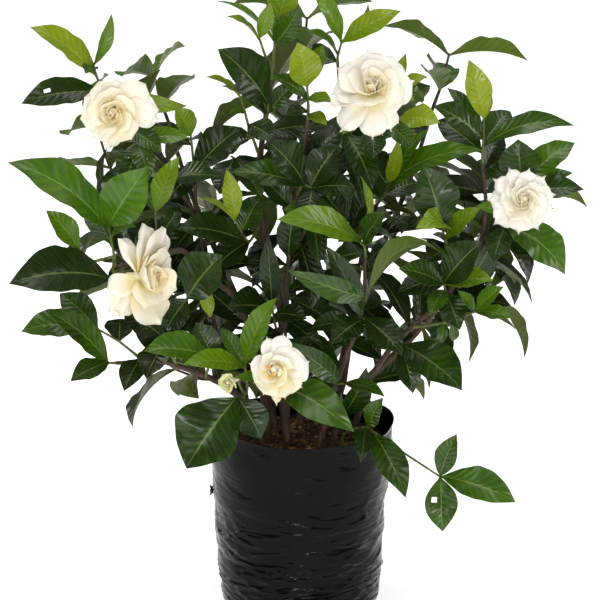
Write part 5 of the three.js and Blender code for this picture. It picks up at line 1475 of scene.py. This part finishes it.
def leaf_wax_material():
    """Gardenia leaf: thick, waxy and glossy. Its side veins are sunk about 8 mm apart, so soft white bands
    of sheen lie between them; the swellings between them are painted a lighter green and the sunk veins a
    darker one, as painted light and shade. The midrib is paler. The underside is duller and olive."""
    material, tree, shader = surface("waxy_leaf", IOR=1.45, Specular_IOR_Level=0.4, Coat_Weight=0.06,
                                     Coat_Roughness=0.2, Coat_IOR=1.45)
    position = add(tree, "TexCoord", output="Object")
    blade = add(tree, "SeparateXYZ", {"Vector": add(tree, "UVMap", uv_map="blade")}).node
    length_share, width_share = blade.outputs["X"], blade.outputs["Y"]
    side = add(tree, "MapRange", {0: width_share, 3: -1, 4: 1})
    across = add(tree, "Math", {0: side}, operation="ABSOLUTE")
    bow = add(tree, "Math", {0: across, 1: 0.85}, operation="POWER")
    swept = add(tree, "Math", {0: bow, 1: VEIN_REACH}, operation="MULTIPLY")
    counted = add(tree, "Math", {0: length_share, 1: VEIN_PAIRS}, operation="MULTIPLY")
    stagger = add(tree, "MapRange", {0: side, 1: -0.001, 2: 0.001, 3: 0, 4: VEIN_STAGGER})
    rows = add(tree, "Math", {0: counted, 1: swept}, operation="SUBTRACT")
    rows = add(tree, "Math", {0: rows, 1: stagger}, operation="ADD")
    between = add(tree, "Math", {0: rows, 1: 0.5}, operation="PINGPONG")
    vein = add(tree, "MapRange", {0: between, 1: 0, 2: 0.08, 3: 1, 4: 0}, interpolation_type="SMOOTHSTEP")
    quilt = add(tree, "MapRange", {0: between, 1: 0, 2: 0.5}, interpolation_type="SMOOTHSTEP")
    taper = add(tree, "MapRange", {0: length_share, 3: 0.08, 4: 0.03})
    rib = add(tree, "Math", {0: across, 1: taper}, operation="DIVIDE")
    midrib = add(tree, "MapRange", {0: rib, 1: 0.3, 2: 1, 3: 1, 4: 0}, interpolation_type="SMOOTHSTEP")
    tone = add(tree, "Attribute", output="Fac", attribute_name="tone")
    under = add(tree, "Attribute", output="Fac", attribute_name="under")
    patches = add(tree, "TexNoise", {"Vector": position, "Scale": 38, "Detail": 3})
    drift = add(tree, "MapRange", {0: patches, 1: 0.2, 2: 0.8, 3: -0.12, 4: 0.12})
    # Painted light and shade: the swellings between the side veins are painted a lighter green, the sunk
    # veins a darker one.
    swell = add(tree, "MapRange", {0: quilt, 3: -0.06, 4: 0.05})
    shade = add(tree, "Math", {0: tone, 1: drift}, operation="ADD")
    shade = add(tree, "Math", {0: shade, 1: swell}, operation="ADD")
    green = add(tree, "ValToRGB", {"Fac": shade}, stops=[
        (0.0, "#111d04"), (0.25, "#1d3507"), (0.5, "#3e640a"), (0.8, "#65830c"), (1.0, "#829110")])
    pale_vein = add(tree, "Math", {0: vein, 1: 0.06}, operation="MULTIPLY")
    green = add(tree, "MixRGB", {"Fac": pale_vein, "Color1": green, "Color2": linear("#a3b85c")})
    pale_rib = add(tree, "Math", {0: midrib, 1: 0.32}, operation="MULTIPLY")
    green = add(tree, "MixRGB", {"Fac": pale_rib, "Color1": green, "Color2": linear("#a3b85c")})
    olive = add(tree, "MixRGB", {"Fac": 0.45, "Color1": green, "Color2": linear("#66752f")})
    colour = add(tree, "MixRGB", {"Fac": under, "Color1": green, "Color2": olive})
    grain = add(tree, "TexNoise", {"Vector": position, "Scale": 420, "Detail": 3})
    height = add(tree, "Math", {0: grain, 1: 0.25}, operation="MULTIPLY")
    height = add(tree, "Math", {0: height, 1: quilt}, operation="ADD")
    bump = add(tree, "Bump", {"Height": height, "Strength": 0.5, "Distance": 0.0005})
    haze = add(tree, "TexNoise", {"Vector": position, "Scale": 60, "Detail": 4})
    sheen = add(tree, "MapRange", {0: haze, 1: 0.3, 2: 0.7, 3: 0.2, 4: 0.32})
    dull = add(tree, "MapRange", {0: under, 3: 0, 4: 0.25})
    roughness = add(tree, "Math", {0: sheen, 1: dull}, operation="ADD")
    wire(tree, shader, Base_Color=colour, Roughness=roughness, Normal=bump)
    return material


def bark_material(name, colours, scale):
    """Smooth brown bark: fine cracks run along the stem, about 1.5 mm apart, with pale pores."""
    material, tree, shader = surface(name, IOR=1.5)
    position = add(tree, "TexCoord", output="Object")
    drawn_out = add(tree, "Mapping", {"Vector": position, "Scale": (1, 1, 0.18)})
    streaks = add(tree, "TexNoise", {"Vector": drawn_out, "Scale": scale, "Detail": 4})
    specks = add(tree, "TexNoise", {"Vector": position, "Scale": 900, "Detail": 2})
    pores = add(tree, "MapRange", {0: specks, 1: 0.62, 2: 0.72, 3: 0, 4: 0.4})
    colour = add(tree, "ValToRGB", {"Fac": streaks}, stops=list(zip((0.3, 0.55, 0.75), colours)))
    colour = add(tree, "MixRGB", {"Fac": pores, "Color1": colour, "Color2": linear("#8a7a63")})
    bump = add(tree, "Bump", {"Height": streaks, "Strength": 0.6, "Distance": 0.0008})
    roughness = add(tree, "MapRange", {0: streaks, 1: 0.3, 2: 0.7, 3: 0.62, 4: 0.85})
    wire(tree, shader, Base_Color=colour, Roughness=roughness, Normal=bump)
    return material


def petal_material():
    """Gardenia petal: thick, white at the rim and cream to yellow towards the throat and with age, and
    painted creamier and darker as shade on petals that hang downwards, with a velvety face, faint
    lengthwise veins and light that passes into it."""
    material, tree, shader = surface("velvet_petal", IOR=1.4, Subsurface_Weight=0.35,
                                     Subsurface_Scale=0.0015, Sheen_Weight=0.1, Sheen_Roughness=0.5)
    shader.inputs["Subsurface Radius"].default_value = (1.0, 0.9, 0.75)
    position = add(tree, "TexCoord", output="Object")
    blade = add(tree, "SeparateXYZ", {"Vector": add(tree, "UVMap", uv_map="blade")}).node
    cream = add(tree, "Attribute", output="Fac", attribute_name="cream")
    root = add(tree, "MapRange", {0: blade.outputs["X"], 1: 0.05, 2: 0.65, 3: 0.42, 4: 0},
               interpolation_type="SMOOTHSTEP")
    clouds = add(tree, "TexNoise", {"Vector": position, "Scale": 55, "Detail": 3})
    drift = add(tree, "MapRange", {0: clouds, 1: 0.2, 2: 0.8, 3: -0.12, 4: 0.12})
    age = add(tree, "Math", {0: cream, 1: root}, operation="ADD")
    age = add(tree, "Math", {0: age, 1: drift}, operation="ADD")
    colour = add(tree, "ValToRGB", {"Fac": age}, stops=[
        (0.0, "#fbf9f4"), (0.3, "#f8f1de"), (0.62, "#f5e4b0"), (0.95, "#d3d39c")])
    counted = add(tree, "Math", {0: blade.outputs["Y"], 1: 95}, operation="MULTIPLY")
    veins = add(tree, "Math", {0: counted}, operation="SINE")
    faint = add(tree, "Math", {0: veins, 1: 0.12}, operation="MULTIPLY")
    grain = add(tree, "TexNoise", {"Vector": position, "Scale": 260, "Detail": 4})
    height = add(tree, "Math", {0: faint, 1: grain}, operation="ADD")
    bump = add(tree, "Bump", {"Height": height, "Strength": 0.3, "Distance": 0.0006})
    roughness = add(tree, "MapRange", {0: clouds, 1: 0.3, 2: 0.7, 3: 0.48, 4: 0.6})
    wire(tree, shader, Base_Color=colour, Roughness=roughness, Normal=bump)
    return material


def anther_material():
    """Ripe anther: orange and mealy, a little darker where the pollen has gone."""
    material, tree, shader = surface("orange_anther", IOR=1.4)
    position = add(tree, "TexCoord", output="Object")
    grains = add(tree, "TexNoise", {"Vector": position, "Scale": 900, "Detail": 2})
    colour = add(tree, "ValToRGB", {"Fac": grains}, stops=[(0.3, "#d98a1e"), (0.7, "#f2b43a")])
    bump = add(tree, "Bump", {"Height": grains, "Strength": 0.5, "Distance": 0.0004})
    roughness = add(tree, "MapRange", {0: grains, 3: 0.6, 4: 0.8})
    wire(tree, shader, Base_Color=colour, Roughness=roughness, Normal=bump)
    return material


def film_material():
    """Blown polythene film, black, thin and shiny: drawn-in folds that run round its lower half catch
    the light, fine crinkles a few millimetres apart break up its reflections, and handling has left it
    a little dusty."""
    material, tree, shader = surface("black_polythene_film", IOR=1.51, Specular_IOR_Level=0.1)
    position = add(tree, "TexCoord", output="Object")
    flattened = add(tree, "Mapping", {"Vector": position, "Scale": (1, 1, 2.2)})
    crinkle = add(tree, "TexNoise", {"Vector": flattened, "Scale": 110, "Detail": 5})
    clouds = add(tree, "TexNoise", {"Vector": position, "Scale": 24, "Detail": 5})
    dust = add(tree, "MapRange", {0: clouds, 1: 0.5, 2: 0.85, 3: 0, 4: 0.14})
    colour = add(tree, "MixRGB", {"Fac": dust, "Color1": linear("#030406"), "Color2": linear("#1d1b19")})
    drawn_out = add(tree, "Mapping", {"Vector": position, "Scale": (1, 1, 4)})
    swell = add(tree, "TexNoise", {"Vector": drawn_out, "Scale": 17, "Detail": 1, "Distortion": 0.6})
    centred = add(tree, "MapRange", {0: swell, 3: -2, 4: 2})
    crest = add(tree, "Math", {0: centred}, operation="ABSOLUTE")
    parts = add(tree, "SeparateXYZ", {"Vector": position}, output="Z")
    lowness = add(tree, "MapRange", {0: parts, 1: 0.03, 2: 0.15, 3: -1, 4: -0.12})
    fold = add(tree, "Math", {0: crest, 1: lowness}, operation="MULTIPLY")
    folded = add(tree, "Bump", {"Height": fold, "Strength": 0.65, "Distance": 0.004})
    bump = add(tree, "Bump", {"Height": crinkle, "Strength": 0.4, "Distance": 0.0012, "Normal": folded})
    worn = add(tree, "MapRange", {0: crinkle, 1: 0.3, 2: 0.7, 3: 0.1, 4: 0.2})
    roughness = add(tree, "Math", {0: worn, 1: dust}, operation="ADD")
    wire(tree, shader, Base_Color=colour, Roughness=roughness, Normal=bump)
    return material


def mix_material():
    """Coir and bark potting mix: brown crumbs of 1 to 4 mm with paler fibres, quite matt."""
    material, tree, shader = surface("coir_and_bark_mix", IOR=1.4)
    position = add(tree, "TexCoord", output="Object")
    crumbs = add(tree, "TexNoise", {"Vector": position, "Scale": 260, "Detail": 6})
    drawn_out = add(tree, "Mapping", {"Vector": position, "Scale": (1, 0.2, 1)})
    fibres = add(tree, "TexNoise", {"Vector": drawn_out, "Scale": 700, "Detail": 3})
    colour = add(tree, "ValToRGB", {"Fac": crumbs}, stops=[
        (0.25, "#1f140d"), (0.5, "#4a3322"), (0.7, "#7a5a3b"), (0.85, "#a08158")])
    straw = add(tree, "MapRange", {0: fibres, 1: 0.6, 2: 0.75, 3: 0, 4: 0.5})
    colour = add(tree, "MixRGB", {"Fac": straw, "Color1": colour, "Color2": linear("#a88b62")})
    raised = add(tree, "Math", {0: fibres, 1: 0.4}, operation="MULTIPLY")
    height = add(tree, "Math", {0: crumbs, 1: raised}, operation="ADD")
    bump = add(tree, "Bump", {"Height": height, "Strength": 1.0, "Distance": 0.003})
    roughness = add(tree, "MapRange", {0: crumbs, 1: 0.3, 2: 0.7, 3: 0.98, 4: 0.85})
    wire(tree, shader, Base_Color=colour, Roughness=roughness, Normal=bump)
    return material


def chip_material():
    """Composted pine bark: each chip its own brown, from near black to tan, rough and matt."""
    material, tree, shader = surface("pine_bark_chip", IOR=1.4)
    position = add(tree, "TexCoord", output="Object")
    drawn_out = add(tree, "Mapping", {"Vector": position, "Scale": (1, 0.4, 1)})
    grain = add(tree, "TexNoise", {"Vector": drawn_out, "Scale": 520, "Detail": 4})
    tone = add(tree, "Attribute", output="Fac", attribute_name="tone")
    drift = add(tree, "MapRange", {0: grain, 3: -0.3, 4: 0.3})
    shade = add(tree, "Math", {0: tone, 1: drift}, operation="ADD")
    colour = add(tree, "ValToRGB", {"Fac": shade}, stops=[
        (0.0, "#1d120b"), (0.4, "#4b3020"), (0.75, "#7d5636"), (1.0, "#a98455")])
    bump = add(tree, "Bump", {"Height": grain, "Strength": 0.9, "Distance": 0.0015})
    roughness = add(tree, "MapRange", {0: grain, 1: 0.3, 2: 0.7, 3: 0.95, 4: 0.75})
    wire(tree, shader, Base_Color=colour, Roughness=roughness, Normal=bump)
    return material


# Floor, light and camera

def area_light(name, place_on, size, power, aim_height=0.34):
    """A soft light at a place that faces the middle of the plant."""
    lamp = bpy.data.lights.new(name, "AREA")
    lamp.shape = "RECTANGLE"
    lamp.size, lamp.size_y = size
    lamp.energy = power
    lamp.color = (1.0, 0.97, 0.92)
    holder = bpy.data.objects.new(name, lamp)
    bpy.context.scene.collection.objects.link(holder)
    holder.location = place_on
    aim = Vector((0, 0, aim_height)) - Vector(place_on)
    holder.rotation_euler = aim.to_track_quat("-Z", "Y").to_euler()


def floor_material():
    """Pale studio floor that glows by itself, as painted light, more and more towards its far parts so
    that it fades to white.
    """
    material, tree, shader = surface("pale_floor", Roughness=0.9)
    shader.inputs["Base Color"].default_value = linear("#dcdcdc")
    shader.inputs["Emission Color"].default_value = linear("#ffffff")
    position = add(tree, "TexCoord", output="Object")
    distance = add(tree, "VectorMath", {0: position}, output="Value", operation="LENGTH")
    glow = add(tree, "MapRange", {0: distance, 1: 0.15, 2: 1.3, 3: 0.72, 4: 1.0},
               interpolation_type="SMOOTHSTEP")
    wire(tree, shader, Emission_Strength=glow)
    return material


def make_stage():
    deselect()
    bpy.ops.mesh.primitive_plane_add(size=30, location=(0, 0, 0))
    floor = bpy.context.object
    floor.name = "pale_floor"
    floor.data.materials.append(floor_material())
    world = bpy.data.worlds.new("studio")
    bpy.context.scene.world = world
    world.use_nodes = True
    background = world.node_tree.nodes["Background"]
    background.inputs["Color"].default_value = (1, 1, 1, 1)
    background.inputs["Strength"].default_value = 0.2
    area_light("key", (-1.2, -1.9, 1.9), (1.0, 1.0), 13)
    area_light("fill", (1.7, -1.6, 1.3), (0.9, 1.3), 4)
    area_light("front_low", (0.2, -2.6, 0.75), (0.9, 0.6), 20, 0.1)
    area_light("top", (0.1, 0.1, 2.3), (1.4, 1.4), 20)
    area_light("left_strip", (-1.5, 0.75, 0.7), (0.35, 1.5), 9, 0.2)
    area_light("right_strip", (1.6, 0.3, 0.7), (0.35, 1.5), 9, 0.2)
    scene = bpy.context.scene
    scene.view_settings.view_transform = "Standard"
    scene.view_settings.look = "None"


def make_camera():
    """A long lens 4.5 m away that looks 16 degrees down, with 600 mm in its frame at the bag's axis."""
    distance, frame_width = 4.5, 0.6
    camera = bpy.data.cameras.new("camera")
    camera.sensor_width = 36
    camera.lens = camera.sensor_width * distance / frame_width
    camera.clip_end = 60
    holder = bpy.data.objects.new("camera", camera)
    bpy.context.scene.collection.objects.link(holder)
    middle = Vector(place((300, 300, 0)) * MM)
    looking = Vector((0, math.cos(VIEW_TILT), -math.sin(VIEW_TILT)))
    holder.location = middle - looking * distance
    holder.rotation_euler = looking.to_track_quat("-Z", "Y").to_euler()
    bpy.context.scene.camera = holder


# The whole plant

PATTERNS = {
    "large": sheet_pattern("large_leaf", 36, 8),
    "small": sheet_pattern("small_leaf", 20, 6),
    "inner": sheet_pattern("inner_leaf", 8, 4),
    "petal": sheet_pattern("petal", 14, 10),
}
LEAF_WAX = leaf_wax_material()
BARK = bark_material("brown_bark", ("#2a1c16", "#46342a", "#6b5646"), 330)
YOUNG_BARK = bark_material("young_green_bark", ("#3b3a1f", "#5c6a2c", "#7c8a44"), 330)
FILM = film_material()
MIX_DRAW = make_random(MIX_SEED)

make_bag(FILM)
make_tear(FILM)
make_mix(mix_material())
make_chips(chip_material(), MIX_DRAW)
make_roots(bark_material("dry_root", ("#4a3524", "#7a5e42", "#a58a66"), 500), MIX_DRAW)
make_stems(BARK)
make_sprays(PATTERNS, LEAF_WAX, YOUNG_BARK)
make_back_branches(PATTERNS, LEAF_WAX, BARK)
make_blooms(PATTERNS, petal_material(), anther_material())
make_inner_leaves(PATTERNS, LEAF_WAX)
for pattern in PATTERNS.values():
    bpy.data.objects.remove(pattern)
make_stage()
make_camera()
